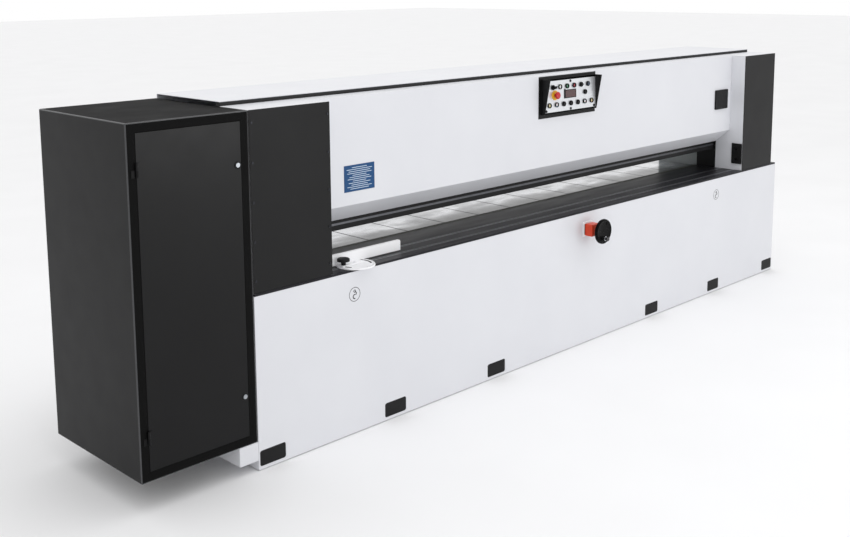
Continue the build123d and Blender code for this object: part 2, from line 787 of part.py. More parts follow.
for name, place in push_places.items():
    with BuildPart(face_plane) as push_button:
        disc(place, -button_back, button_stand, button_radius)
    save(push_button, name)

for name, place in rotary_places.items():
    with BuildPart(face_plane) as rotary:
        disc(place, -button_back, button_stand, button_radius)
        handle = key_height if name == "key_switch" else lever_height
        with Locations((place[0], place[1], button_stand + handle / 2)):
            Box(lever_width, 2 * button_radius - 1, handle)
    save(rotary, name)

with BuildPart(face_plane) as estop_button:
    disc(stop_place, -button_back, stop_lift, stem_radius)
    disc(stop_place, stop_lift, stop_lift + stop_head, stop_radius)
    fillet(estop_button.edges().filter_by(GeomType.CIRCLE).sort_by(Axis.Y)[0], stop_edge)
save(estop_button, "estop_button")

# ------------------------------------------------------------------ handwheel and position indicator
mount_y = (y_front - mount_thick, y_front)
indicator_y = (mount_y[0] - indicator_depth, mount_y[0] - weld_gap)
wheel_back = y_front - wheel_standoff
wheel_front = wheel_back - wheel_thick
shaft_bore = wheel_shaft + running
with BuildPart() as position_indicator:
    mount_half = mount_side / 2
    block((shaft_x - mount_half, shaft_x + mount_half), mount_y,
          (screw_height - mount_half, screw_height + mount_half))
    half = indicator_width / 2
    block((shaft_x - half, shaft_x + half), indicator_y, (screw_height - half, screw_height + half))
    fillet(position_indicator.edges().filter_by(Axis.Y), indicator_edge)
    rod_y(shaft_x, (indicator_y[0] - 1, mount_y[1] + 1), screw_height, shaft_bore, Mode.SUBTRACT)
save(position_indicator, "position_indicator")

gearbox_front = gauge_rest + gauge_thick + gearbox_gap
gearbox_y = (y_front + gearbox_front, y_front + gearbox_front + gearbox)
cross_y = (gearbox_y[0] + gearbox_y[1]) / 2
grip_place = (shaft_x + grip_side, screw_height - grip_offset)
with BuildPart() as handwheel:
    rod_y(shaft_x, (wheel_front, wheel_back), screw_height, wheel_radius)
    rim_edges = handwheel.edges().filter_by(GeomType.CIRCLE)
    fillet(rim_edges, wheel_edge)
    for z in (screw_height - wheel_radius, screw_height + wheel_radius):
        rod_y(shaft_x, (wheel_front - cut, wheel_back + cut), z, wheel_notch, Mode.SUBTRACT)
    rod_y(shaft_x, (wheel_back, indicator_y[0] - hub_gap), screw_height, hub_radius)
    rod_y(shaft_x, (indicator_y[0] - hub_gap, gearbox_y[0] + screw_entry), screw_height, wheel_shaft)
    rod_y(grip_place[0], (wheel_front - cut, wheel_back + cut), grip_place[1], grip_pin, Mode.SUBTRACT)
save(handwheel, "handwheel")

with BuildPart() as handwheel_grip:
    rod_y(grip_place[0], (wheel_front - grip_length, wheel_front - seat), grip_place[1], grip_radius)
    fillet(handwheel_grip.edges().filter_by(GeomType.CIRCLE).sort_by(Axis.Y)[0], grip_edge)
    rod_y(grip_place[0], (wheel_front - seat, wheel_back), grip_place[1], grip_pin - running)
save(handwheel_grip, "handwheel_grip")

# ------------------------------------------------------------------ fence on the front table
pivot_x = throat_x[0] + fence_pivot_x
pivot_y = y_front + fence_pivot_y
disc_top = table_height + protractor_thick
with BuildPart() as fence_protractor:
    rod_z(pivot_x, pivot_y, (table_height, disc_top), protractor_radius)
    fillet(fence_protractor.edges().filter_by(GeomType.CIRCLE).sort_by(Axis.Z)[-1], 2)
    with BuildSketch(Plane.XY.offset(disc_top + 1)):
        for start in (-arc_slot_angle / 2, 180 - arc_slot_angle / 2):
            with BuildLine():
                CenterArc((pivot_x, pivot_y), arc_slot_radius, start, arc_slot_angle)
            trace(line_width=arc_slot_width)
    extrude(amount=-protractor_thick - 2, mode=Mode.SUBTRACT)
    rod_z(pivot_x, pivot_y, (disc_top, disc_top + pivot_height), pivot_radius)
save(fence_protractor, "fence_protractor")

bar_x = (pivot_x - fence_left, pivot_x - fence_left + fence_length)
bar_y = (pivot_y + fence_face, pivot_y + fence_face + fence_thick)
fence_low = disc_top + seat
clamp_x = pivot_x - arc_slot_radius
with BuildPart() as fence_bar:
    block(bar_x, bar_y, (fence_low, fence_low + fence_height))
    fillet(fence_bar.edges().filter_by(Axis.Y).sort_by(Axis.Z)[-2:], bar_corner)
    arm_x = (clamp_x - arm_margin, pivot_x + arm_end)
    block(arm_x, (pivot_y - arm_margin, bar_y[0] + cut), (fence_low, fence_low + arm_thick))
    rod_z(pivot_x, pivot_y, (fence_low - 1, fence_low + arm_thick + 1), pivot_radius + running, Mode.SUBTRACT)
    rod_z(clamp_x, pivot_y, (fence_low - 1, fence_low + arm_thick + 1), clamp_stud + running, Mode.SUBTRACT)
save(fence_bar, "fence_bar")

with BuildPart() as clamp_knob:
    arm_top = fence_low + arm_thick
    knob_top = arm_top + clamp_height
    rod_z(clamp_x, pivot_y, (table_height + 1, arm_top + seat), clamp_stud)
    rod_z(clamp_x, pivot_y, (arm_top + seat, knob_top - clamp_cap), clamp_neck)
    rod_z(clamp_x, pivot_y, (knob_top - clamp_cap, knob_top), clamp_radius)
    fillet(clamp_knob.edges().filter_by(GeomType.CIRCLE).group_by(Axis.Z)[-1], clamp_edge)
save(clamp_knob, "clamp_knob")

# ------------------------------------------------------------------ pressure beam and knife beam
pressure_y = (y_front + pressure_front, y_front + pressure_front + pressure_thick)
pressure_mid = (pressure_y[0] + pressure_y[1]) / 2
pressure_rods = [throat_centre + pressure_pitch * (n - 1.5) for n in range(4)]
strip_low = pressure_low + strip_lift
strip_high = strip_low + strip_band
piston_top = barrel_top - barrel_cap - piston_gap
with BuildPart() as pressure_beam:
    block(beam_x, pressure_y, (pressure_low, wing_bottom))
    block(wing_x, pressure_y, (wing_bottom, wing_top))
    block(beam_x, (pressure_y[0] - cut, pressure_y[0] + strip_let_in), (strip_low, strip_high), Mode.SUBTRACT)
    # Bright strip let into the front face, and the piston rods on the upper edge
    strip_z = (strip_low + weld_gap, strip_high - weld_gap)
    band_y = (pressure_y[0] - strip_proud, pressure_y[0] + strip_let_in - weld_gap)
    block((beam_x[0] + 1, beam_x[1] - 1), band_y, strip_z)
    for x in pressure_rods:
        rod_z(x, pressure_mid, (wing_top + weld_gap, piston_top - piston_thick), pressure_rod)
        rod_z(x, pressure_mid, (piston_top - piston_thick, piston_top), pressure_bore - running)
save(pressure_beam, "pressure_beam")

knife_beam_y = (y_front + knife_beam_front, y_front + knife_front)
knife_mid = (knife_beam_y[0] + knife_beam_y[1]) / 2
knife_rods = (throat_x[0] + knife_cylinder_inset, throat_x[1] - knife_cylinder_inset)
knife_beam_low = knife_low + knife_beam_lift
knife_y = (y_front + knife_front, y_front + knife_front + knife_thick)
bolt_pitch = (beam_x[1] - beam_x[0]) / knife_bolts
bolt_y = (knife_y[1], knife_y[1] + knife_bolt_head)
bolt_z = knife_low + knife_height - knife_bolt_drop
with BuildPart() as knife_beam:
    block(beam_x, knife_beam_y, (knife_beam_low, wing_bottom))
    block(wing_x, knife_beam_y, (wing_bottom, wing_top))
    # Knife bolts behind the knife, and the piston rods on the upper edge
    for n in range(knife_bolts):
        rod_y(beam_x[0] + (n + 0.5) * bolt_pitch, bolt_y, bolt_z, knife_bolt_radius)
    for x in knife_rods:
        rod_z(x, knife_mid, (wing_top + weld_gap, piston_top - piston_thick), knife_rod)
        rod_z(x, knife_mid, (piston_top - piston_thick, piston_top), knife_bore - running)
save(knife_beam, "knife_beam")

with BuildPart() as knife:
    with BuildSketch(Plane.YZ.offset(beam_x[0])):
        with BuildLine():
            Polyline(
                (knife_y[0], knife_low),
                (knife_y[1], knife_low + 2 * knife_thick),
                (knife_y[1], knife_low + knife_height),
                (knife_y[0], knife_low + knife_height),
                close=True,
            )
        make_face()
    extrude(amount=beam_x[1] - beam_x[0])
save(knife, "knife")

barrels = [(x, pressure_mid, pressure_barrel, pressure_bore, pressure_rod) for x in pressure_rods]
barrels = barrels + [(x, knife_mid, knife_barrel, knife_bore, knife_rod) for x in knife_rods]
saddle_z = (upper_z[0] + saddle_lift, upper_z[0] + saddle_lift + saddle_height)
with BuildPart() as hydraulic_cylinders:
    for x, y, outer, bore, rod_radius in barrels:
        saddle_x = (x - saddle_width / 2, x + saddle_width / 2)
        block(saddle_x, (y + outer + weld_gap, upper_y[0]), saddle_z)
        rod_z(x, y, (barrel_bottom, barrel_top), outer)
        rod_z(x, y, (barrel_bottom + barrel_cap, barrel_top - barrel_cap), bore, Mode.SUBTRACT)
        rod_z(x, y, (barrel_bottom - 1, barrel_bottom + barrel_cap + 1), rod_radius + running, Mode.SUBTRACT)
save(hydraulic_cylinders, "hydraulic_cylinders")

tank_x = throat_x[0] + tank_inset
tank_y = bed_y[1] + tank_gap
tank_middle = tank_y + tank_width / 2
with BuildPart() as hydraulic_power_pack:
    tank_top = table_under - pack_headroom - motor_height - motor_flange_thick
    block((tank_x, tank_x + tank_length), (tank_y, tank_y + tank_width), (rail_top, tank_top))
    # Motor on its flange, and the valve block, bolted to the tank's lid
    lid_top = tank_top + weld_gap
    flange_top = lid_top + motor_flange_thick
    rod_z(tank_x + motor_x, tank_middle, (lid_top, flange_top), motor_flange)
    motor_z = (flange_top + weld_gap, flange_top + motor_height)
    rod_z(tank_x + motor_x, tank_middle, motor_z, motor_radius)
    block_x = (tank_x + valve_x, tank_x + valve_x + valve_length)
    block_y = (tank_middle - valve_width / 2, tank_middle + valve_width / 2)
    block(block_x, block_y, (lid_top, lid_top + valve_height))
save(hydraulic_power_pack, "hydraulic_power_pack")

# ------------------------------------------------------------------ back gauge
gauge_y = (y_front + gauge_rest, y_front + gauge_rest + gauge_thick)
gauge_low = table_height + gauge_clear
screw_x = ((frame_x[0] + throat_x[0]) / 2, (frame_x[1] + throat_x[1]) / 2)
arm_low = guide_rod_height - guide_rod_radius - arm_under
with BuildPart() as gauge_beam:
    outer_x = (screw_x[0] - gauge_arm / 2, screw_x[1] + gauge_arm / 2)
    block(outer_x, gauge_y, (gauge_low, gauge_low + gauge_height))
    for x in screw_x:
        block((x - gauge_arm / 2, x + gauge_arm / 2), gauge_y, (arm_low, gauge_low - weld_gap))
        through_y = (gauge_y[0] - 1, gauge_y[1] + 1)
        rod_y(x, through_y, screw_height, screw_radius + running, Mode.SUBTRACT)
        rod_y(x, through_y, guide_rod_height, guide_rod_radius + running, Mode.SUBTRACT)
save(gauge_beam, "gauge_beam")

bearing_front = bed_y[1] + bearing_gap
bearing_y = (bearing_front, bearing_front + bearing_thick)
with BuildPart() as gauge_bearings:
    for side, x, face in zip((-1, 1), screw_x, frame_x):
        front_x = sorted((face - side * weld_gap, x - side * gauge_arm / 2))
        block(front_x, bearing_y, (arm_low, screw_height + bearing_over))
        rod_y(x, (bearing_y[0] - cut, bearing_y[1] + cut), screw_height, screw_radius + running, Mode.SUBTRACT)
        block((x - gearbox / 2, x + gearbox / 2), gearbox_y, (arm_low, gearbox_top - weld_gap))
        entry_y = (gearbox_y[0] - cut, gearbox_y[0] + screw_entry + end_play)
        rod_y(x, entry_y, screw_height, screw_radius + running, Mode.SUBTRACT)
    shaft_box_x = (shaft_x - gearbox / 2, shaft_x + gearbox / 2)
    block(shaft_box_x, gearbox_y, (screw_height - gearbox / 2, gearbox_top - weld_gap))
    rod_y(shaft_x, entry_y, screw_height, wheel_shaft + running, Mode.SUBTRACT)
    shaft_bore_x = (screw_x[0] + shaft_gap - end_play, screw_x[1] - shaft_gap + end_play)
    rod_x(shaft_bore_x, cross_y, screw_height, cross_shaft_radius + running, Mode.SUBTRACT)
    for x in screw_x:
        rod_y(x, (bearing_y[1] + weld_gap, gearbox_y[0] - weld_gap), guide_rod_height, guide_rod_radius)
save(gauge_bearings, "gauge_bearings")

for name, x in zip(("left_gauge_screw", "right_gauge_screw"), screw_x):
    with BuildPart() as gauge_screw:
        rod_y(x, (bearing_y[0] + end_play, gearbox_y[0] + screw_entry), screw_height, screw_radius)
    save(gauge_screw, name)

with BuildPart() as cross_shaft:
    rod_x((screw_x[0] + shaft_gap, screw_x[1] - shaft_gap), cross_y, screw_height, cross_shaft_radius)
save(cross_shaft, "cross_shaft")

# ------------------------------------------------------------------ electrical cabinet
box_x = (x_left - cabinet_gap - cabinet_width, x_left - cabinet_gap)
box_y = (y_front, y_front + cabinet_depth)
cab_z = (cabinet_lift, body_height)
door_x = (box_x[0] + cabinet_border, box_x[1] - cabinet_border)
door_z = (cab_z[0] + cabinet_border, cab_z[1] - cabinet_border)
with BuildPart() as cabinet_body:
    frame_y = (box_y[0], box_y[0] + door_thick)
    shell_y = (frame_y[1] + weld_gap, box_y[1] - sheet - weld_gap)
    inner_z = (cab_z[0] + sheet + weld_gap, cab_z[1] - sheet - weld_gap)
    upright_z = (door_z[0] + weld_gap, door_z[1] - weld_gap)
    block(box_x, frame_y, (cab_z[0], door_z[0]))
    block(box_x, frame_y, (door_z[1], cab_z[1]))
    block((box_x[0], door_x[0]), frame_y, upright_z)
    block((door_x[1], box_x[1]), frame_y, upright_z)
    block(box_x, shell_y, (cab_z[0], cab_z[0] + sheet))
    block(box_x, shell_y, (cab_z[1] - sheet, cab_z[1]))
    block((box_x[0], box_x[0] + sheet), shell_y, inner_z)
    block((box_x[1] - sheet, box_x[1]), shell_y, inner_z)
    block(box_x, (box_y[1] - sheet, box_y[1]), cab_z)
save(cabinet_body, "cabinet_body")

hinge_x = door_x[0] + door_gap / 2
hinge_y = box_y[0] - hinge_radius - 1
hinge_z = (cab_z[1] - hinge_inset, cab_z[0] + hinge_inset)
with BuildPart() as cabinet_door:
    panel_x = (door_x[0] + door_gap, door_x[1] - door_gap)
    panel_z = (door_z[0] + door_gap, door_z[1] - door_gap)
    panel_y = (box_y[0], box_y[0] + door_thick)
    block(panel_x, panel_y, panel_z)
    block((panel_x[0] + sheet, panel_x[1] - sheet), (box_y[0] + sheet, panel_y[1] + 1),
          (panel_z[0] + sheet, panel_z[1] - sheet), Mode.SUBTRACT)
    for z in hinge_z:
        knuckle_z = (z + seat, z + hinge_length / 2)
        rod_z(hinge_x, hinge_y, knuckle_z, hinge_radius)
        block((hinge_x, panel_x[0] + leaf_width), (box_y[0] - hinge_leaf, box_y[0]), knuckle_z)
        block((hinge_x, hinge_x + hinge_leaf), (hinge_y, box_y[0]), knuckle_z)
        rod_z(hinge_x, hinge_y, (z, z + hinge_length / 2 + 1), hinge_pin + running, Mode.SUBTRACT)
    for z in (door_z[1] - lock_height_inset + door_gap, door_z[0] + lock_height_inset - door_gap):
        lock_bore_y = (box_y[0] - 1, box_y[0] + sheet + 1)
        rod_y(panel_x[1] - lock_inset, lock_bore_y, z, lock_radius + seat, Mode.SUBTRACT)
save(cabinet_door, "cabinet_door")

with BuildPart() as door_hinges:
    for z in hinge_z:
        knuckle_z = (z - hinge_length / 2, z)
        rod_z(hinge_x, hinge_y, knuckle_z, hinge_radius)
        block((door_x[0] - leaf_width, hinge_x), (box_y[0] - hinge_leaf, box_y[0]), knuckle_z)
        block((hinge_x - hinge_leaf, hinge_x), (hinge_y, box_y[0]), knuckle_z)
        rod_z(hinge_x, hinge_y, (z - hinge_length / 2, z + hinge_length / 2), hinge_pin)
save(door_hinges, "door_hinges")

lock_x = panel_x[1] - lock_inset
lock_z = {
    "upper_door_lock": door_z[1] - lock_height_inset + door_gap,
    "lower_door_lock": door_z[0] + lock_height_inset - door_gap,
}
for name, z in lock_z.items():
    with BuildPart() as door_lock:
        cam_y = (panel_y[1] + lock_cam_gap, panel_y[1] + lock_cam_gap + lock_cam)
        rod_y(lock_x, (box_y[0] - lock_proud, cam_y[1]), z, lock_radius)
        block((lock_x - cam_half, lock_x + cam_half), cam_y, (z - cam_tail, z + cam_reach))
    save(door_lock, name)

with BuildPart() as cabinet_bracket:
    bracket_x = (x_left - bracket_width, x_left)
    bracket_y = (box_y[0], box_y[1] - bracket_inset)
    block(bracket_x, bracket_y, (cabinet_lift - bracket_height, cabinet_lift))
save(cabinet_bracket, "cabinet_bracket")

mount_plate_x = (box_x[0] + mount_plate_inset, box_x[1] - mount_plate_inset)
mount_plate_y = (box_y[1] - mount_plate_back - sheet, box_y[1] - mount_plate_back)
mount_plate_z = (cab_z[0] + mount_plate_end, cab_z[1] - mount_plate_end)
device_y = (mount_plate_y[0] - device_depth, mount_plate_y[0] - weld_gap)
spacer_y = (mount_plate_y[1] + weld_gap, box_y[1] - sheet - seat)
with BuildPart() as switchgear:
    block(mount_plate_x, mount_plate_y, mount_plate_z)
    for x in (mount_plate_x[0] + mount_spacer, mount_plate_x[1] - 2 * mount_spacer):
        for z in (mount_plate_z[0] + mount_spacer, mount_plate_z[1] - 2 * mount_spacer):
            block((x, x + mount_spacer), spacer_y, (z, z + mount_spacer))
    for row in range(device_rows):
        row_z = mount_plate_z[0] + device_first_z + row * device_pitch_z
        for column in range(device_columns):
            device_x = mount_plate_x[0] + device_first_x + column * device_pitch_x
            block((device_x, device_x + device_width), device_y, (row_z, row_z + device_height))
save(switchgear, "switchgear")
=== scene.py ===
"""The looks of a veneer guillotine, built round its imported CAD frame."""
import json
from math import cos, pi, radians, sin

import bpy
from mathutils import Matrix, Vector

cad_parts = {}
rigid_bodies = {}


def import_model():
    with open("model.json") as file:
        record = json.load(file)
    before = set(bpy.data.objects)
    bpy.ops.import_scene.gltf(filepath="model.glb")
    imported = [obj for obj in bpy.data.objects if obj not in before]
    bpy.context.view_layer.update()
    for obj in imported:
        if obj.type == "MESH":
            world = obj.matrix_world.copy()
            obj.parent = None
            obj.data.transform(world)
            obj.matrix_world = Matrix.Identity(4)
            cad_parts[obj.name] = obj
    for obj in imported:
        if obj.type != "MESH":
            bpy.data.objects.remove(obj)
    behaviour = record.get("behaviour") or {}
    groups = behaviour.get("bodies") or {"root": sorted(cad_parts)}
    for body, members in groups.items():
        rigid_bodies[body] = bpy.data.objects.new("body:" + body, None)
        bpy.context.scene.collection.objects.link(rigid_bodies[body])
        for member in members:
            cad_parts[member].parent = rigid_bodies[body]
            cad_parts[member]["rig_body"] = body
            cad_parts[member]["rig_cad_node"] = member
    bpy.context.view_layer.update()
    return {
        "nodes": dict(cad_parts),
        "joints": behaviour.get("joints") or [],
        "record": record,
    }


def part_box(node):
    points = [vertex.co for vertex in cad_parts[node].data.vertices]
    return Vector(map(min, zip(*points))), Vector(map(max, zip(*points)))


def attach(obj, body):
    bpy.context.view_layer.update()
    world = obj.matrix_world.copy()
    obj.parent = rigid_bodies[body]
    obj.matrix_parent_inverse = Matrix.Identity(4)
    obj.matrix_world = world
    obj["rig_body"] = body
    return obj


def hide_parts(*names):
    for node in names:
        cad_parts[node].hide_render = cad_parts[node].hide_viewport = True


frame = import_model()
record = frame["record"]
nodes = frame["nodes"]
slot_of = {part["node"]: part["material_slot"] for part in record["subparts"]}
body_of = {node: body for body, held in record["behaviour"]["bodies"].items() for node in held}
joints = {joint["name"]: joint for joint in frame["joints"]}
MM = 0.001
X_AXIS = Vector((1, 0, 0))
Y_AXIS = Vector((0, 1, 0))
Z_AXIS = Vector((0, 0, 1))


# ---------------------------------------------------------------- colour and material helpers
def linear(code, alpha=1.0):
    """An sRGB hex colour as linear RGBA."""
    channels = [int(code[i:i + 2], 16) / 255 for i in (1, 3, 5)]
    return [c / 12.92 if c <= 0.04045 else ((c + 0.055) / 1.055) ** 2.4 for c in channels] + [alpha]


def add_node(tree, kind, inputs=None, **settings):
    """Add a shader node, set its settings, and give its inputs values or links."""
    made = tree.nodes.new(kind)
    for name, value in settings.items():
        setattr(made, name, value)
    for name, value in (inputs or {}).items():
        if isinstance(value, bpy.types.NodeSocket):
            tree.links.new(value, made.inputs[name])
        else:
            made.inputs[name].default_value = value
    return made


def new_material(name, colour, roughness, metallic=0.0, **shader_inputs):
    """A material with one Principled shader, and the object's own coordinates to draw patterns on."""
    material = bpy.data.materials.new(name)
    material.use_nodes = True
    tree = material.node_tree
    tree.nodes.clear()
    values = {"Base Color": linear(colour), "Roughness": roughness, "Metallic": metallic}
    values.update({key.replace("_", " "): value for key, value in shader_inputs.items()})
    shader = add_node(tree, "ShaderNodeBsdfPrincipled", values)
    add_node(tree, "ShaderNodeOutputMaterial", {"Surface": shader.outputs[0]})
    material.diffuse_color = linear(colour)
    place = add_node(tree, "ShaderNodeTexCoord").outputs["Object"]
    return material, tree, shader, place


def vary_colour(tree, shader, pattern, dark, light):
    """Let a pattern from 0 to 1 move the base colour between two hex colours."""
    mixed = add_node(tree, "ShaderNodeMix", {0: pattern, 6: linear(dark), 7: linear(light)}, data_type="RGBA")
    tree.links.new(mixed.outputs[2], shader.inputs["Base Color"])


def vary_roughness(tree, shader, pattern, low, high):
    """Let a pattern from 0 to 1 move the roughness between two values."""
    spread = add_node(tree, "ShaderNodeMapRange", {"Value": pattern, "To Min": low, "To Max": high})
    tree.links.new(spread.outputs[0], shader.inputs["Roughness"])


def raise_surface(tree, shader, height, depth_mm, strength=1.0):
    """Bump the surface by a pattern, to a real depth."""
    bump = add_node(tree, "ShaderNodeBump", {
        "Height": height, "Distance": depth_mm * MM, "Strength": strength})
    tree.links.new(bump.outputs[0], shader.inputs["Normal"])


def noise(tree, place, size_mm, detail=2.0, stretch=(1, 1, 1)):
    """Noise whose blobs are about size_mm across, drawn out along an axis by stretch."""
    scaled = add_node(tree, "ShaderNodeMapping", {"Vector": place, "Scale": [1 / s for s in stretch]})
    made = add_node(tree, "ShaderNodeTexNoise", {
        "Vector": scaled.outputs[0], "Scale": 1 / (size_mm * MM), "Detail": detail})
    return made.outputs[0]


# ---------------------------------------------------------------- materials
def powder_coat(name, dark, light, roughness, level=0.5):
    """Polyester powder coat, sprayed and baked: even, low sheen, highlights softened by fine orange peel."""
    material, tree, shader, place = new_material(
        name, light, roughness, IOR=1.5, Specular_IOR_Level=level)
    cloud = noise(tree, place, 420, detail=3)
    vary_colour(tree, shader, cloud, dark, light)
    vary_roughness(tree, shader, noise(tree, place, 160), roughness - 0.05, roughness + 0.06)
    # Orange peel is about 1.5 mm; drawn at 4 mm so that it shows
    raise_surface(tree, shader, noise(tree, place, 4), 0.05, 0.35)
    return material


def stoved_enamel(name, dark, light, roughness, level=0.14):
    """Dark enamel, sprayed and stoved: semi-gloss, so it mirrors the room softly, with a fine peel."""
    material, tree, shader, place = new_material(
        name, light, roughness, IOR=1.5, Specular_IOR_Level=level)
    vary_colour(tree, shader, noise(tree, place, 300, detail=3), dark, light)
    vary_roughness(tree, shader, noise(tree, place, 120), roughness - 0.06, roughness + 0.08)
    raise_surface(tree, shader, noise(tree, place, 3.5), 0.04, 0.4)
    return material


def machine_enamel(name):
    """Grey machine enamel, brushed over fabricated steel: satin, with faint laps."""
    material, tree, shader, place = new_material(name, "#a9afb0", 0.42, IOR=1.5)
    vary_colour(tree, shader, noise(tree, place, 90, detail=4), "#9ea4a5", "#b2b7b8")
    raise_surface(tree, shader, noise(tree, place, 14, stretch=(3, 1, 3)), 0.12, 0.5)
    return material


def burnished_plate(name):
    """Steel plate, burnished black and oiled: dark, satin, streaked along its length by sliding packs."""
    material, tree, shader, place = new_material(
        name, "#232427", 0.42, metallic=0.5, Specular_IOR_Level=0.2)
    streaks = noise(tree, place, 9, detail=5, stretch=(60, 1, 1))
    vary_colour(tree, shader, streaks, "#141416", "#323136")
    vary_roughness(tree, shader, noise(tree, place, 60, detail=4, stretch=(6, 1, 1)), 0.32, 0.52)
    raise_surface(tree, shader, streaks, 0.02, 0.6)
    return material


def ground_plate(name, colour="#cfd0d3", low=0.1, high=0.28, darken_from=None):
    """Steel plate, surface ground: bright, with fine parallel grinding lines across the machine."""
    material, tree, shader, place = new_material(name, colour, (low + high) / 2, metallic=0.8)
    # Grinding lines are about 0.3 mm apart; drawn at 3 mm so that they show
    lines = noise(tree, place, 3, detail=4, stretch=(1, 90, 1))
    vary_colour(tree, shader, lines, "#d3d4d8", "#f0f1f3")
    vary_roughness(tree, shader, noise(tree, place, 70, detail=3, stretch=(1, 4, 1)), low, high)
    raise_surface(tree, shader, lines, 0.006, 0.5)
    # Darker towards the cutting line, when a start is given
    if darken_from is not None:
        add_front_darkening(tree, shader, place, darken_from)
    return material


def add_front_darkening(tree, shader, place, start):
    """Darken the plate back from the cutting line at y = start, in patches that reach further from x = -2.1 m
    towards x = -0.6 m.
    """
    apart = add_node(tree, "ShaderNodeSeparateXYZ", {"Vector": place})
    dark_patches = noise(tree, place, 150, detail=4, stretch=(2.2, 1, 1))
    width = add_node(tree, "ShaderNodeMapRange", {
        "Value": dark_patches, "From Min": 0.3, "From Max": 0.7, "To Min": 110 * MM, "To Max": 620 * MM})
    use = add_node(tree, "ShaderNodeMapRange", {
        "Value": apart.outputs[0], "From Min": -2.1, "From Max": -0.6, "To Min": 0.25, "To Max": 1.0})
    reach = add_node(tree, "ShaderNodeMath", {0: width.outputs[0], 1: use.outputs[0]}, operation="MULTIPLY")
    behind = add_node(tree, "ShaderNodeMath", {0: apart.outputs[1], 1: start - 20 * MM}, operation="SUBTRACT")
    # Fades from the dark colour at the cutting line to the plate's own colour at the end of its reach
    clean = add_node(
        tree, "ShaderNodeMapRange", {"Value": behind.outputs[0], "From Min": 0, "From Max": reach.outputs[0]},
        interpolation_type="SMOOTHSTEP")
    undarkened_colour = shader.inputs["Base Color"].links[0].from_socket
    mixed = add_node(tree, "ShaderNodeMix", {
        0: clean.outputs[0], 6: linear("#1d1e20"), 7: undarkened_colour}, data_type="RGBA")
    tree.links.new(mixed.outputs[2], shader.inputs["Base Color"])


def turned_steel(name, dark="#a9abb0", light="#d4d6da", roughness=0.24):
    """Steel, turned, ground or zinc plated: a clean cool metal with a little tarnish."""
    material, tree, shader, place = new_material(name, light, roughness, metallic=1.0)
    vary_colour(tree, shader, noise(tree, place, 25, detail=3), dark, light)
    vary_roughness(tree, shader, noise(tree, place, 8, detail=3), roughness - 0.07, roughness + 0.1)
    return material


def anodised_sheet(name):
    """Aluminium sheet, brushed along its length and anodised: pale silver with a soft sheen."""
    material, tree, shader, place = new_material(name, "#dcdee2", 0.36, metallic=0.75)
    # Brush lines are about 0.1 mm apart; drawn at 1.2 mm so that they show
    grain = noise(tree, place, 1.2, detail=3, stretch=(80, 1, 1))
    vary_colour(tree, shader, grain, "#d0d2d6", "#eceef1")
    raise_surface(tree, shader, grain, 0.004, 0.5)
    return material


def moulded_plastic(name, dark, light, roughness, depth_mm=0.02, level=0.5):
    """Injection-moulded plastic: even colour, with the fine spark-eroded grain of its mould."""
    material, tree, shader, place = new_material(
        name, light, roughness, IOR=1.49, Specular_IOR_Level=level)
    vary_colour(tree, shader, noise(tree, place, 35, detail=3), dark, light)
    vary_roughness(tree, shader, noise(tree, place, 12, detail=3), roughness * 0.8, roughness * 1.25)
    raise_surface(tree, shader, noise(tree, place, 0.8), depth_mm, 0.6)
    return material


def lens_plastic(name, dark, light):
    """Translucent acrylic, moulded: light gets into it a little, under a clear glossy skin."""
    material, tree, shader, place = new_material(
        name, light, 0.12, IOR=1.49, Coat_Weight=0.5, Coat_Roughness=0.05,
        Subsurface_Weight=0.25, Subsurface_Scale=0.004)
    vary_colour(tree, shader, noise(tree, place, 6, detail=2), dark, light)
    return material


def sawn_polymer(name):
    """Polymer cutting strip, sawn and scored by the knife: dull, dark, with cuts along its length."""
    material, tree, shader, place = new_material(name, "#34352f", 0.6, IOR=1.5)
    scores = noise(tree, place, 1.5, detail=5, stretch=(120, 1, 1))
    vary_colour(tree, shader, scores, "#23241f", "#55564c")
    raise_surface(tree, shader, scores, 0.1, 0.7)
    return material


def cast_iron(name):
    """Cast iron, blackened: rough sand-cast skin."""
    material, tree, shader, place = new_material(name, "#2b2b2d", 0.62, metallic=0.4)
    vary_colour(tree, shader, noise(tree, place, 12, detail=5), "#1c1c1e", "#3a3a3c")
    raise_surface(tree, shader, noise(tree, place, 2.5, detail=5), 0.25, 0.8)
    return material


def extruded_rubber(name):
    """EPDM rubber, extruded: matt black with lines drawn along it by the die."""
    material, tree, shader, place = new_material(name, "#1b1b1c", 0.68, IOR=1.5)
    drawn = noise(tree, place, 1.5, detail=3, stretch=(90, 1, 1))
    vary_colour(tree, shader, drawn, "#141415", "#262627")
    raise_surface(tree, shader, drawn, 0.05, 0.5)
    return material


def printed_ink(name, dark, light):
    """Screen-printed ink: thin, flat and slightly uneven in density."""
    material, tree, shader, place = new_material(name, light, 0.45, IOR=1.5)
    vary_colour(tree, shader, noise(tree, place, 5, detail=4), dark, light)
    return material


WHITE = powder_coat("white_powder_coat", "#d2d3d8", "#dbdce0", 0.36)
# A brighter white: the indicator mount's own brighter paint, and painted light on the fence to lift it out of
# its shade
WHITE_AND_PAINTED_LIGHT = powder_coat("brighter_white_and_painted_light_powder_coat", "#eeeef0", "#f4f4f6", 0.34)
BLACK = powder_coat("black_powder_coat", "#0a0a0b", "#111112", 0.42, 0.2)
CHARCOAL = stoved_enamel("charcoal_stoved_enamel", "#09090a", "#0d0d0e", 0.36)
# The dark enamel made darker for the cabinet's top faces: painted shade
TOP_SHADE_ENAMEL = stoved_enamel("top_painted_shade_enamel", "#050506", "#080809", 0.6, 0.04)
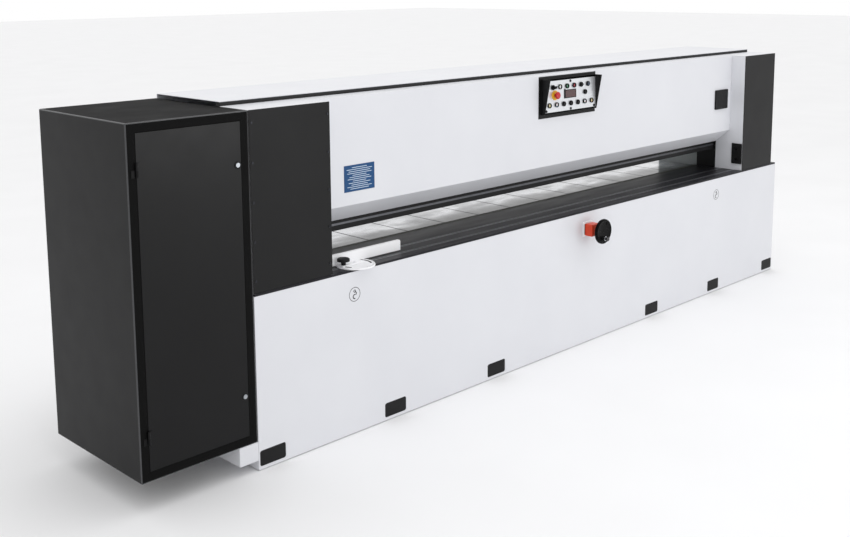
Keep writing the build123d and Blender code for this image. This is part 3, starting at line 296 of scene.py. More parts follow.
# A lighter, glossier copy of the dark enamel for the cabinet's folded edges: painted highlight
FOLD_HIGHLIGHT_ENAMEL = stoved_enamel("fold_painted_highlight_enamel", "#2a2b2d", "#3c3d40", 0.24, 0.6)
DOOR_ENAMEL = stoved_enamel("door_stoved_enamel", "#09090a", "#0e0e0f", 0.3, 0.2)
GREY = machine_enamel("grey_machine_enamel")
TABLE_STEEL = burnished_plate("burnished_table_steel")
# The rear plates are darkened back from their front edge
PLATE_STEEL = ground_plate("surface_ground_steel", darken_from=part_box("rear_table_plates")[0].y)
KNIFE_STEEL = ground_plate("lapped_tool_steel", "#c6c8cc", 0.1, 0.22)
BRIGHT_STEEL = turned_steel("turned_bright_steel")
# Dark steel for the rounded edges at the plate seams
SEAM_STEEL = turned_steel("dark_seam_edge_steel", "#1c1d1f", "#2e2f32", 0.4)
STRIP_STEEL = turned_steel("burnished_strip_steel", "#55565a", "#707175", 0.3)
SLOT_STEEL = turned_steel("worn_slot_steel", "#8b8c91", "#a6a7ac", 0.3)
ZINC = turned_steel("zinc_plated_steel", "#8f9398", "#b6babf", 0.32)
DARK_SCREW = turned_steel("blackened_screw_steel", "#26272a", "#3c3d41", 0.34)
ALUMINIUM = anodised_sheet("brushed_anodised_aluminium")
STRIP_POLYMER = sawn_polymer("sawn_polymer_strip")
MATT_BLACK = moulded_plastic("moulded_black_nylon", "#0b0b0c", "#121213", 0.5, level=0.22)
GLOSS_BLACK = moulded_plastic("moulded_black_phenolic", "#040405", "#080809", 0.24, 0.004, 0.16)
WHEEL_BLACK = moulded_plastic("wheel_black_phenolic", "#030303", "#060607", 0.26, 0.004, 0.08)
POLISHED_BLACK = moulded_plastic("polished_black_phenolic", "#060607", "#0b0b0c", 0.08, 0.002, 0.9)
ORANGE = moulded_plastic("moulded_orange_abs", "#c43410", "#d64018", 0.3)
RED = moulded_plastic("moulded_red_abs", "#a8141a", "#c21c20", 0.22, 0.006)
YELLOW = moulded_plastic("moulded_yellow_abs", "#dba321", "#eab52c", 0.34)
# A darker copy of the dark enamel for the door border and its turned-in return: painted shade
BORDER_SHADE_ENAMEL = stoved_enamel("border_painted_shade_enamel", "#040404", "#070707", 0.55, 0.08)
BLUE_CAP = moulded_plastic("moulded_blue_black_abs", "#0e1d2e", "#17304a", 0.22, 0.006)
WHITE_LENS = lens_plastic("white_acrylic_lens", "#e4e4e2", "#f6f6f4")
CREAM_LENS = lens_plastic("cream_acrylic_lens", "#cfc091", "#e6d9ac")
GREEN_LENS = lens_plastic("green_acrylic_lens", "#3c6b50", "#5c8f70")
RED_LENS = lens_plastic("red_acrylic_lens", "#8c1f2a", "#b33440")
FILTER = lens_plastic("red_filter_window", "#3a2224", "#54302f")
BLUE_LACQUER = powder_coat("blue_lacquered_aluminium", "#043c6a", "#08497c", 0.36, 0.3)
WHITE_INK = printed_ink("white_printed_ink", "#b8cbdc", "#d3e0ec")
BLACK_INK = printed_ink("black_printed_ink", "#0d0d0e", "#1a1a1b")
IRON = cast_iron("blackened_cast_iron")
RUBBER = extruded_rubber("extruded_rubber_seal")
SWITCHGEAR = moulded_plastic("moulded_grey_polyamide", "#6c7174", "#7d8285", 0.48)

SLOT_MATERIALS = {
    "white_paint": WHITE, "black_paint": BLACK, "charcoal_paint": CHARCOAL, "frame_paint": GREY,
    "burnished_steel": TABLE_STEEL, "ground_steel": PLATE_STEEL, "bright_steel": BRIGHT_STEEL,
    "tool_steel": KNIFE_STEEL, "aluminium": ALUMINIUM, "strip_plastic": STRIP_POLYMER,
    "black_plastic": MATT_BLACK, "gloss_black": GLOSS_BLACK, "orange_plastic": ORANGE,
    "red_plastic": RED, "blue_plastic": BLUE_CAP, "lens_plastic": WHITE_LENS,
    "display_plastic": FILTER, "blue_plate": BLUE_LACQUER, "zinc_steel": ZINC,
    "foot_iron": IRON, "black_steel": DARK_SCREW, "yellow_plastic": YELLOW, "switch_plastic": SWITCHGEAR,
}


# ---------------------------------------------------------------- modelling helpers
def deselect():
    """Operators act on all that is selected, so each piece starts with nothing selected."""
    for thing in bpy.context.selected_objects:
        thing.select_set(False)


def activate(piece):
    """Make a piece the only selected and the active one."""
    deselect()
    piece.select_set(True)
    bpy.context.view_layer.objects.active = piece


def edit(piece, mode="VERT"):
    """Open a piece in edit mode with everything selected."""
    activate(piece)
    bpy.ops.object.mode_set(mode="EDIT")
    bpy.ops.mesh.select_mode(type=mode)
    bpy.ops.mesh.select_all(action="SELECT")


def leave_edit():
    bpy.ops.object.mode_set(mode="OBJECT")


def select_where(piece, test):
    """Leave edit mode, select the faces whose centre and normal pass the test, and open edit mode again."""
    bpy.ops.mesh.select_all(action="DESELECT")
    leave_edit()
    for face in piece.data.polygons:
        face.select = test(face.center, face.normal)
    bpy.ops.object.mode_set(mode="EDIT")


def apply_place(piece):
    """Put a piece's place, turn and size into its mesh, with its object at the origin."""
    activate(piece)
    bpy.ops.object.transform_apply(location=True, rotation=True, scale=True)


def apply_modifier(piece, kind, **settings):
    """Add a modifier with its settings, and apply it."""
    activate(piece)
    modifier = piece.modifiers.new(kind.lower(), kind)
    for name, value in settings.items():
        setattr(modifier, name, value)
    bpy.ops.object.modifier_apply(modifier=modifier.name)


def soften_edges(piece, width, segments=2):
    """Round every sharp edge of a piece, then smooth what is round."""
    apply_modifier(piece, "BEVEL", width=width, segments=segments, limit_method="ANGLE",
                   angle_limit=radians(32), use_clamp_overlap=True)
    smooth(piece)


def smooth(piece, angle=34):
    """Smooth what is round, and let the large flat faces keep their own normals."""
    activate(piece)
    bpy.ops.object.shade_smooth_by_angle(angle=radians(angle))
    apply_modifier(piece, "WEIGHTED_NORMAL", keep_sharp=True, weight=100)


def paint(piece, material):
    piece.data.materials.clear()
    piece.data.materials.append(material)
    return piece


def tint(piece, material, test):
    """Give the faces whose centre passes the test a second material."""
    piece.data.materials.append(material)
    index = len(piece.data.materials) - 1
    for face in piece.data.polygons:
        if test(face.center):
            face.material_index = index


def settle(piece, node, replaces=False):
    """Let a piece ride on a CAD node's body, and stand for it if it replaces it."""
    apply_place(piece)
    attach(piece, body_of[node])
    if replaces:
        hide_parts(node)
    return piece


def block(name, low, high, material):
    """A box between two corners."""
    deselect()
    low, high = Vector(low), Vector(high)
    bpy.ops.mesh.primitive_cube_add(size=1, location=(low + high) / 2, scale=high - low)
    piece = bpy.context.object
    piece.name = name
    apply_place(piece)
    return paint(piece, material)


def turned(name, steps, material, sides=48):
    """A round piece on the Z axis: a disc whose rim is extruded through (radius, height) steps."""
    deselect()
    radius, height = steps[0]
    bpy.ops.mesh.primitive_circle_add(
        vertices=sides, radius=radius, fill_type="NGON", location=(0, 0, height))
    piece = bpy.context.object
    piece.name = name
    apply_place(piece)
    edit(piece, "FACE")
    for new_radius, new_height in steps[1:]:
        bpy.ops.mesh.extrude_region_move(TRANSFORM_OT_translate={"value": (0, 0, new_height - height)})
        factor = new_radius / radius
        bpy.ops.transform.resize(value=(factor, factor, 1), center_override=(0, 0, new_height))
        radius, height = new_radius, new_height
    bpy.ops.mesh.select_all(action="SELECT")
    bpy.ops.mesh.normals_make_consistent(inside=False)
    leave_edit()
    return paint(piece, material)


def stand(piece, origin, z_axis, x_axis=X_AXIS):
    """Turn a piece that was modelled on the Z axis to stand on a point along another axis."""
    z_axis = Vector(z_axis).normalized()
    x_axis = (x_axis - z_axis * x_axis.dot(z_axis)).normalized()
    y_axis = z_axis.cross(x_axis)
    turn = Matrix((x_axis, y_axis, z_axis)).transposed().to_4x4()
    piece.matrix_world = Matrix.Translation(origin) @ turn
    apply_place(piece)
    return piece


def twin(piece, name, offset=(0, 0, 0)):
    """A copy with its own mesh, moved by an offset."""
    copy = piece.copy()
    copy.data = piece.data.copy()
    copy.name = name
    bpy.context.scene.collection.objects.link(copy)
    copy.location = Vector(copy.location) + Vector(offset)
    return copy


def joined(name, pieces):
    """Several pieces as one object."""
    deselect()
    for piece in pieces:
        piece.select_set(True)
    bpy.context.view_layer.objects.active = pieces[0]
    if len(pieces) > 1:
        bpy.ops.object.join()
    pieces[0].name = name
    return pieces[0]


def carve(piece, tool):
    """Cut one solid out of another."""
    apply_modifier(piece, "BOOLEAN", operation="DIFFERENCE", solver="EXACT", object=tool)
    bpy.data.objects.remove(tool)


def softened(node, width_mm, material=None, segments=2):
    """A CAD node's shape with its edges rounded, standing for the node."""
    piece = nodes[node].copy()
    piece.data = nodes[node].data.copy()
    piece.name = node + "_finished"
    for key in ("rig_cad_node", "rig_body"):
        del piece[key]
    piece.parent = None
    bpy.context.scene.collection.objects.link(piece)
    edit(piece)
    bpy.ops.mesh.customdata_custom_splitnormals_clear()
    bpy.ops.mesh.remove_doubles(threshold=0.00002)
    bpy.ops.mesh.dissolve_limited(angle_limit=radians(0.6), delimit={"NORMAL"})
    leave_edit()
    paint(piece, material or SLOT_MATERIALS[slot_of[node]])
    soften_edges(piece, width_mm * MM, segments)
    return settle(piece, node, replaces=True)


def middle(node):
    """The centre of a node's box."""
    low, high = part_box(node)
    return (low + high) / 2


def joint_point(node):
    """Where the joint that moves a node's body is anchored."""
    joint = next(joint for joint in joints.values() if joint["child"] == body_of[node])
    return Vector(joint["pos_m"])


# ---------------------------------------------------------------- frames, machinery and sheet-metal covers
def finish_frame():
    """Frames and machinery behind the covers keep their CAD shapes, in their own finishes."""
    for name, thing in nodes.items():
        paint(thing, SLOT_MATERIALS[slot_of[name]])


def finish_covers():
    """Sheet-metal covers with folded edges."""
    for node in ("front_apron", "base_panels", "front_cover", "housings", "rear_cover"):
        softened(node, 1.0)
    softened("end_covers", 1.2)
    softened("throat_liners", 0.8)
    softened("cabinet_bracket", 3)
    softened("inspection_cover", 1.5)
    softened("foot_access_covers", 1.0)
    lid = softened("top_lid", 1.2)
    seal_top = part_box("housings")[1].z + 1 * MM
    tint(lid, RUBBER, lambda at: at.z < seal_top)


def finish_plates():
    """Rear table plates: the rounded edges at each seam are painted dark, so each seam shows as a dark line.
    """
    sides = sorted({round(vertex.co.x, 4) for vertex in nodes["rear_table_plates"].data.vertices})[1:-1]
    plates = softened("rear_table_plates", 3.4)
    rounding_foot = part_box("rear_table_plates")[1].z - 4 * MM
    tint(plates, SEAM_STEEL, lambda at: (
        at.z > rounding_foot and any(abs(at.x - side) < 3.3 * MM for side in sides)))


def finish_tables():
    """Front table, its slot rails, the rear plates, cutting strip and knife, all with broken edges."""
    softened("front_table", 1.0)
    softened("table_slot_rails", 0.6, SLOT_STEEL)
    finish_plates()
    softened("cutting_strip", 0.6)
    softened("knife", 0.3)


def finish_pressure_beam():
    """Pressure beam: dark front, a thin burnished strip along its foot, and bright rods above it."""
    beam = softened("pressure_beam", 0.8)
    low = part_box("pressure_beam")[0]
    strip_low = low.z + 28 * MM
    strip_high = low.z + 41 * MM
    front = low.y + 3 * MM
    tint(beam, STRIP_STEEL, lambda at: at.y < front and strip_low < at.z < strip_high)
    rods_from = low.z + 0.3
    tint(beam, BRIGHT_STEEL, lambda at: at.z > rods_from)


# ---------------------------------------------------------------- cabinet
DOOR_BORDER = 46 * MM
SHEET = 2 * MM


def model_cabinet():
    """Cabinet folded from one sheet: rounded corners and a border turned in round the door, with painted
    shade on its top and border and a painted highlight along its folds.
    """
    low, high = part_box("cabinet_body")
    shell = block("cabinet_shell", low, high, CHARCOAL)
    fold = 5 * MM
    apply_modifier(shell, "BEVEL", width=fold, segments=4, limit_method="ANGLE", angle_limit=radians(32))
    edit(shell, "FACE")
    select_where(shell, lambda at, normal: normal.y < -0.99 and at.y < low.y + 0.0001)
    bpy.ops.mesh.inset(thickness=DOOR_BORDER - fold - SHEET, depth=0)
    bpy.ops.mesh.extrude_region_move(TRANSFORM_OT_translate={"value": (0, 14 * MM, 0)})
    bpy.ops.mesh.delete(type="FACE")
    leave_edit()
    apply_modifier(shell, "SOLIDIFY", thickness=SHEET, offset=-1, use_even_offset=True)
    smooth(shell)
    inner_low, inner_high = low + Vector((1, 1, 1)) * fold, high - Vector((1, 1, 1)) * fold
    # The door border and its turned-in return are painted darker: painted shade in the recess
    tint(shell, BORDER_SHADE_ENAMEL, lambda at: (
        inner_low.x < at.x < inner_high.x and inner_low.z < at.z < inner_high.z and at.y < low.y + 15 * MM))

    def on_fold(at):
        """Near two of the box's six sides at once, which only the folded edges are."""
        near = sum((at[i] < inner_low[i]) + (at[i] > inner_high[i]) for i in range(3))
        return near >= 2

    # The top faces are painted darker than the sides: painted shade
    tint(shell, TOP_SHADE_ENAMEL, lambda at: at.z > high.z - 1 * MM)
    # The folded edges are painted lighter: painted highlight along each fold
    tint(shell, FOLD_HIGHLIGHT_ENAMEL, on_fold)
    settle(shell, "cabinet_body", replaces=True)


def fill_cabinet_gap_shade():
    """Black strip filling the gap between the cabinet and the machine's left housing: painted shade, so the
    seam shows dark.
    """
    cabinet_low, cabinet_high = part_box("cabinet_body")
    housing_low, housing_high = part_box("housings")
    seal = block("cabinet_gap_shade_strip", (cabinet_high.x + 0.1 * MM, cabinet_low.y + 2 * MM, housing_low.z + 2 * MM),
                 (housing_low.x - 0.1 * MM, housing_high.y - 4 * MM, cabinet_high.z - 2 * MM), RUBBER)
    soften_edges(seal, 1 * MM)
    settle(seal, "cabinet_body")


def model_door():
    """Door panel with softened folds, its hinges, and a black ring round each lock."""
    softened("cabinet_door", 0.8, DOOR_ENAMEL)
    softened("door_hinges", 0.6, CHARCOAL)
    ring = turned("lock_ring", [
        (12.2 * MM, 0), (19 * MM, 0), (19 * MM, 1.6 * MM), (18 * MM, 2.4 * MM), (12.8 * MM, 2.4 * MM),
        (12.2 * MM, 1.8 * MM)], MATT_BLACK)
    bridge_ends(ring)
    for node in ("upper_door_lock", "lower_door_lock"):
        place = middle(node)
        place.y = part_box("cabinet_body")[0].y
        place.z = joint_point(node).z
        own = twin(ring, node + "_ring")
        stand(own, place, -Y_AXIS)
        smooth(own)
        settle(own, "cabinet_door")
        softened(node, 0.5, ZINC)
    bpy.data.objects.remove(ring)


# ---------------------------------------------------------------- console
FACE_NORMAL = -Vector(joints["estop_press"]["axis"])
FACE_UP = FACE_NORMAL.cross(X_AXIS).normalized()
if FACE_UP.z < 0:
    FACE_UP.negate()
FACE_FOOT = Vector((middle("console_face").x, *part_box("console_face")[0].yz))
# Places on the face, in millimetres across and up from the middle of its foot
TOP_ROW, MIDDLE_ROW, LOW_ROW = 154, 104, 44
LAMPS = {
    "lamp_white_upper": (-108, TOP_ROW, WHITE_LENS), "lamp_green": (-36, TOP_ROW, GREEN_LENS),
    "lamp_red": (36, TOP_ROW, RED_LENS), "lamp_cream_left": (-216, LOW_ROW, CREAM_LENS),
    "lamp_white_left": (-144, LOW_ROW, WHITE_LENS), "lamp_white_right": (144, LOW_ROW, WHITE_LENS),
    "lamp_cream_right": (216, LOW_ROW, CREAM_LENS),
}
SWITCH_PLACES = (
    (180, TOP_ROW), (149, MIDDLE_ROW), (-72, LOW_ROW), (0, LOW_ROW), (72, LOW_ROW), (-180, TOP_ROW),
    (108, TOP_ROW))
STOP_PLACE = (-158, MIDDLE_ROW)
SCREW_PLACES = ((0, 184), (0, 9.5), (-245, 9.5), (245, 9.5))
BEZEL = 16 * MM
BEZEL_RISE = 9 * MM
CAP = 12 * MM
CAP_RISE = 11 * MM
BODY_FOOT = -14 * MM


def on_face(across, up):
    """A point on the console's tilted face, from its foot's middle, in millimetres."""
    return FACE_FOOT + X_AXIS * across * MM + FACE_UP * up * MM


def bridge_ends(ring):
    """Join a turned profile's first and last rims, so it becomes a ring with a hole."""
    edit(ring, "FACE")
    bpy.ops.mesh.select_all(action="DESELECT")
    leave_edit()
    most = max(len(face.vertices) for face in ring.data.polygons)
    for face in ring.data.polygons:
        face.select = len(face.vertices) == most
    bpy.ops.object.mode_set(mode="EDIT")
    bpy.ops.mesh.bridge_edge_loops()
    bpy.ops.mesh.select_all(action="SELECT")
    bpy.ops.mesh.normals_make_consistent(inside=False)
    leave_edit()


def model_console():
    """Black console box, brushed face, raised bezels and sunk pilot lights."""
    softened("console_housing", 1.2)
    softened("console_face", 0.5)
    softened("console_display", 0.6, FILTER)
    bezel = turned("bezel", [
        (CAP + 0.5 * MM, 0), (BEZEL, 0), (BEZEL, BEZEL_RISE - 1.4 * MM), (BEZEL - 0.9 * MM, BEZEL_RISE),
        (CAP + 1.1 * MM, BEZEL_RISE), (CAP + 0.5 * MM, BEZEL_RISE - 0.6 * MM)], GLOSS_BLACK, sides=40)
    bridge_ends(bezel)
    rings = []
    for across, up in [place[:2] for place in LAMPS.values()] + list(SWITCH_PLACES):
        own = twin(bezel, "bezel_ring")
        rings.append(stand(own, on_face(across, up), FACE_NORMAL))
    bpy.data.objects.remove(bezel)
    bezels = joined("control_bezels", rings)
    smooth(bezels)
    settle(bezels, "button_bezels", replaces=True)
    lens = turned("lens", [
        (CAP, BODY_FOOT), (CAP, 1.2 * MM), (CAP * 0.95, 2 * MM), (CAP * 0.76, 2.6 * MM),
        (CAP * 0.4, 2.9 * MM), (1 * MM, 3 * MM)], WHITE_LENS, sides=40)
    for name, (across, up, colour) in LAMPS.items():
        own = paint(twin(lens, name), colour)
        stand(own, on_face(across, up), FACE_NORMAL)
        smooth(own)
        settle(own, "pilot_lights", replaces=True)
    bpy.data.objects.remove(lens)


def model_display_frame():
    """Black frame round the display window, with a wide left border that holds its keys."""
    frame_block = block("display_frame", (-66 * MM, -27 * MM, 0), (56 * MM, 27 * MM, 2.6 * MM), GLOSS_BLACK)
    window = block("window_cutter", (-52 * MM, -22.8 * MM, 0.3 * MM), (51.8 * MM, 22.8 * MM, 4 * MM),
                   GLOSS_BLACK)
    carve(frame_block, window)
    soften_edges(frame_block, 0.6 * MM)
    stand(frame_block, on_face(0, MIDDLE_ROW), FACE_NORMAL)
    settle(frame_block, "button_bezels")
    key = block("display_key", (-63 * MM, -4 * MM, 2.4 * MM), (-55 * MM, 4 * MM, 4 * MM), MATT_BLACK)
    soften_edges(key, 0.7 * MM)
    keys = joined("display_keys", [twin(key, "key", (0, offset * MM, 0)) for offset in (-15, 0, 15)])
    bpy.data.objects.remove(key)
    stand(keys, on_face(0, MIDDLE_ROW), FACE_NORMAL)
    settle(keys, "button_bezels")


def model_push_buttons():
    """Push buttons: drums with dished tops and rounded rims."""
    cap = turned("push_cap", [
        (CAP, BODY_FOOT), (CAP, CAP_RISE - 1 * MM), (CAP * 0.96, CAP_RISE - 0.3 * MM), (CAP * 0.89, CAP_RISE),
        (CAP * 0.72, CAP_RISE - 0.3 * MM), (CAP * 0.4, CAP_RISE - 0.8 * MM), (1 * MM, CAP_RISE - 1 * MM)],
        GLOSS_BLACK, sides=40)
    for node, material in (
            ("blue_button", BLUE_CAP), ("black_button", GLOSS_BLACK), ("row_button_left", GLOSS_BLACK),
            ("row_button_middle", GLOSS_BLACK), ("row_button_right", GLOSS_BLACK)):
        own = paint(twin(cap, node + "_cap"), material)
        place = (middle(node) - FACE_FOOT) / MM
        stand(own, on_face(round(place.x, 1), round(place.z / FACE_UP.z)), FACE_NORMAL)
        smooth(own)
        settle(own, node, replaces=True)
    bpy.data.objects.remove(cap)


def model_rotary(node, lean, thick=3 * MM, reach=8 * MM):
    """Rotary switch: a drum with a raised bar and a pointer line, turned to its set position."""
    drum = turned("drum", [
        (CAP, BODY_FOOT), (CAP, CAP_RISE - 1 * MM), (CAP - 0.5 * MM, CAP_RISE - 0.3 * MM),
        (CAP - 2 * MM, CAP_RISE), (1 * MM, CAP_RISE)], GLOSS_BLACK, sides=40)
    top = CAP_RISE + reach
    bar = block("bar", (-thick, -11.3 * MM, CAP_RISE - 0.5 * MM), (thick, 11.3 * MM, top), GLOSS_BLACK)
    soften_edges(bar, thick * 0.4)
    line = block("line", (-0.5 * MM, 2.5 * MM, top - 0.2 * MM), (0.5 * MM, 10 * MM, top + 0.15 * MM),
                 WHITE_INK)
    knob = joined(node + "_knob", [drum, bar, line])
    place = joint_point(node)
    across = (place.x - FACE_FOOT.x) / MM
    axis = X_AXIS * cos(radians(lean)) + FACE_UP * sin(radians(lean))
    stand(knob, on_face(across, TOP_ROW), FACE_NORMAL, axis)
    smooth(knob)
    settle(knob, node, replaces=True)


def model_emergency_stop():
    """Emergency stop: a red mushroom on a narrow neck, over a yellow disc."""
    low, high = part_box("estop_button")
    radius = (high.x - low.x) / 2
    place = on_face(*STOP_PLACE)
    mushroom = turned("emergency_mushroom", [
        (8 * MM, BODY_FOOT), (8 * MM, 15 * MM), (radius * 0.82, 18 * MM), (radius, 20.5 * MM),
        (radius, 24.5 * MM), (radius * 0.96, 27.5 * MM), (radius * 0.84, 30.4 * MM),
        (radius * 0.62, 32.6 * MM), (radius * 0.34, 33.7 * MM), (1 * MM, 34 * MM)], RED)
    stand(mushroom, place, FACE_NORMAL)
    smooth(mushroom, 50)
    settle(mushroom, "estop_button", replaces=True)
    disc = turned("emergency_disc", [
        (8.6 * MM, 0), (31 * MM, 0), (31 * MM, 3 * MM), (30 * MM, 4 * MM), (9.4 * MM, 4 * MM),
        (8.6 * MM, 3.4 * MM)], YELLOW)
    bridge_ends(disc)
    stand(disc, place, FACE_NORMAL)
    smooth(disc)
    settle(disc, "estop_disc", replaces=True)


def model_socket_screw():
    """One socket screw on the Z axis, its head's foot at zero: a domed head with a hexagonal socket."""
    screw = turned("socket_screw", [
        (4.6 * MM, 0), (4.6 * MM, 1.6 * MM), (4.2 * MM, 2.3 * MM), (3 * MM, 2.7 * MM), (2 * MM, 2.7 * MM)],
        DARK_SCREW, sides=24)
    socket = turned("socket", [(1.7 * MM, 1 * MM), (1.7 * MM, 4 * MM)], DARK_SCREW, sides=6)
    carve(screw, socket)
    smooth(screw)
    return screw


def add_face_screws():
    """Four small screws that hold the console's face."""
    screw = model_socket_screw()
    screws = []
    for across, up in SCREW_PLACES:
        own = twin(screw, "face_screw")
        own.scale = (1.9, 1.9, 1.3)
        apply_place(own)
        paint(own, BLACK)
        screws.append(stand(own, on_face(across, up), FACE_NORMAL))
    bpy.data.objects.remove(screw)
    settle(joined("face_screws", screws), "cover_screws")


# ---------------------------------------------------------------- button station
def finish_station():
    """Two-button station: softened box, with a bright ring round each button."""
    softened("button_station", 1.0)
    ring = turned("cut_button_ring", [
        (14.6 * MM, 0), (17 * MM, 0), (17 * MM, 1.2 * MM), (16.4 * MM, 1.8 * MM), (15 * MM, 1.8 * MM),
        (14.6 * MM, 1.4 * MM)], BRIGHT_STEEL)
    bridge_ends(ring)
    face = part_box("button_station")[0].x + 7 * MM
    for node in ("upper_cut_button", "lower_cut_button"):
        place = middle(node)
        own = twin(ring, node + "_ring")
        stand(own, (face, place.y, place.z), -X_AXIS, Y_AXIS)
        smooth(own)
        settle(own, "button_station")
    bpy.data.objects.remove(ring)


# ---------------------------------------------------------------- handwheel and position indicator
def model_handwheel():
    """Black phenolic handwheel on a steel shaft: rounded rim, dished front, two notches and a dimple."""
    low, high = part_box("handwheel")
    centre = joint_point("handwheel")
    radius = (high.x - low.x) / 2
    wheel = turned("handwheel_disc", [
        (13 * MM, -54 * MM), (14 * MM, -50 * MM), (14 * MM, -26 * MM), (22 * MM, -23.5 * MM),
        (radius * 0.9, -22.5 * MM), (radius * 0.975, -20.5 * MM), (radius, -16 * MM), (radius, -8 * MM),
        (radius * 0.975, -2.8 * MM), (radius * 0.92, -0.2 * MM), (radius * 0.86, -0.4 * MM),
        (radius * 0.8, -2.4 * MM), (radius * 0.35, -3.6 * MM), (12 * MM, -3.6 * MM), (11 * MM, -3 * MM),
        (10 * MM, -3.6 * MM), (1 * MM, -3.8 * MM)], WHEEL_BLACK, sides=96)
    dimple = turned("dimple", [
        (2 * MM, -7 * MM), (7 * MM, -6 * MM), (10 * MM, -4 * MM), (11.4 * MM, 0), (11.4 * MM, 4 * MM)],
        GLOSS_BLACK)
    dimple.location = (20 * MM, 50 * MM, 0)
    apply_place(dimple)
    carve(wheel, dimple)
    notch = turned("notch", [(5.5 * MM, -30 * MM), (5.5 * MM, 10 * MM)], GLOSS_BLACK, sides=32)
    for side in (-1, 1):
        own = twin(notch, "own_notch", (0, side * (radius + 1.5 * MM), 0))
        apply_place(own)
        carve(wheel, own)
    bpy.data.objects.remove(notch)
    stand(wheel, (centre.x, low.y, centre.z), -Y_AXIS)
    smooth(wheel, 28)
    reach = high.y - low.y - 30 * MM
    shaft = turned("handwheel_shaft", [
        (7 * MM, 0), (8 * MM, 1 * MM), (8 * MM, reach - 1 * MM), (7 * MM, reach)], BRIGHT_STEEL)
    stand(shaft, (centre.x, low.y + 30 * MM, centre.z), Y_AXIS)
    smooth(shaft)
    settle(wheel, "handwheel", replaces=True)
    settle(shaft, "handwheel")


def model_grip():
    """Short turning knob: waisted at its foot, full and rounded at its end, with a bright pin's head."""
    low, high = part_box("handwheel_grip")
    radius = (high.x - low.x) / 2
    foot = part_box("handwheel")[0].y
    length = foot - low.y
    knob = turned("grip_knob", [
        (3.6 * MM, -20 * MM), (3.6 * MM, 0.2 * MM), (radius * 0.72, 0.3 * MM), (radius * 0.66, length * 0.16),
        (radius * 0.74, length * 0.34), (radius * 0.93, length * 0.56), (radius, length * 0.72),
        (radius * 0.96, length * 0.86), (radius * 0.8, length * 0.96), (radius * 0.4, length * 0.99),
        (radius * 0.36, length)], POLISHED_BLACK, sides=64)
    ferrule = turned("grip_ferrule", [
        (radius * 0.5, 0), (radius * 0.98, 0), (radius * 0.98, 3.4 * MM), (radius * 0.9, 4.4 * MM),
        (radius * 0.5, 4.4 * MM)], BRIGHT_STEEL, sides=64)
    bridge_ends(ferrule)
    pin = turned("grip_pin", [
        (4 * MM, length - 1.2 * MM), (4 * MM, length - 0.5 * MM), (3 * MM, length - 0.1 * MM),
        (1 * MM, length)], BRIGHT_STEEL, sides=32)
    grip = joined("grip", [knob, ferrule, pin])
    place = joint_point("handwheel_grip")
    stand(grip, (place.x, foot, place.z), -Y_AXIS)
    smooth(grip, 50)
    settle(grip, "handwheel_grip", replaces=True)


def model_indicator():
    """Position indicator: white mounting plate, a black block set back in the gap as painted shade, and a
    rounded orange case with a window.
    """
    low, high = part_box("position_indicator")
    centre = joint_point("handwheel")
    mount_half = (high.x - low.x) / 2 - 2 * MM
    mount = block("indicator_mount", (-mount_half, -mount_half, 0.1 * MM), (mount_half, mount_half, 8 * MM),
                  WHITE_AND_PAINTED_LIGHT)
    soften_edges(mount, 1.2 * MM)
    case_length = high.y - low.y
    # A black block, set back between the mount and the case, paints the shade of the gap between them
    gap_shade = block("indicator_gap_shade_block", (-35 * MM, -35 * MM, 8 * MM), (35 * MM, 35 * MM, 14 * MM), MATT_BLACK)
    case = block("indicator_case", (-39 * MM, -39 * MM, 13 * MM), (39 * MM, 39 * MM, case_length), ORANGE)
    soften_edges(case, 5 * MM, 4)
    window = block("indicator_window", (-26 * MM, 24 * MM, case_length - 14 * MM),
                   (26 * MM, 42 * MM, 28 * MM), ORANGE)
    carve(case, window)
    glass = block("indicator_glass", (-25 * MM, 26 * MM, 29 * MM),
                  (25 * MM, 36.5 * MM, case_length - 15 * MM), FILTER)
    collar = turned("indicator_collar", [
        (9.4 * MM, 0), (20 * MM, 0), (20 * MM, 1.4 * MM), (19 * MM, 2 * MM), (9.4 * MM, 2 * MM)], MATT_BLACK)
    bridge_ends(collar)
    stand(collar, (0, 0, case_length - 2.2 * MM), Z_AXIS)
    drill = turned("shaft_bore", [(9.3 * MM, -10 * MM), (9.3 * MM, 100 * MM)], ORANGE, sides=32)
    for piece in (mount, gap_shade, case):
        own = twin(drill, "own_bore")
        carve(piece, own)
    bpy.data.objects.remove(drill)
    whole = joined("position_counter", [case, mount, gap_shade, glass, collar])
    stand(whole, (centre.x, high.y, centre.z), -Y_AXIS)
    smooth(whole)
    settle(whole, "position_indicator", replaces=True)


# ---------------------------------------------------------------- fence
def finish_fence():
    """Fence: softened bar, protractor with its slot walls painted black as painted shade, and printed degree
    marks.
    """
    # Bar and protractor take the brighter white as painted light, against the shade they stand in
    softened("fence_bar", 1.6, WHITE_AND_PAINTED_LIGHT)
    protractor = softened("fence_protractor", 0.5, WHITE_AND_PAINTED_LIGHT)
    pivot = middle("fence_protractor")
    low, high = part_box("fence_protractor")
    slot_walls = high.z - 0.6 * MM
    # The slot's walls are painted black: painted shade inside the slot
    tint(protractor, BLACK, lambda at: at.z < slot_walls and 75 * MM < (at - pivot).xy.length < 89 * MM)
    radius = (high.x - low.x) / 2
    long_mark, short_mark = [
        block("mark", (radius - length * MM, -0.4 * MM, 0), (radius - 4 * MM, 0.4 * MM, 0.15 * MM), BLACK_INK)
        for length in (15, 9)]
    middle_of_marks = joint_point("fence_bar") + Z_AXIS * 0.02 * MM
    marks = []
    for step in range(-18, 19):
        own = twin(short_mark if step % 3 else long_mark, "degree_mark")
        angle = radians(5 * step)
        across = X_AXIS * cos(angle) + Y_AXIS * sin(angle)
        marks.append(stand(own, middle_of_marks, Z_AXIS, across))
    for pattern in (long_mark, short_mark):
        bpy.data.objects.remove(pattern)
    settle(joined("degree_marks", marks), "fence_protractor")


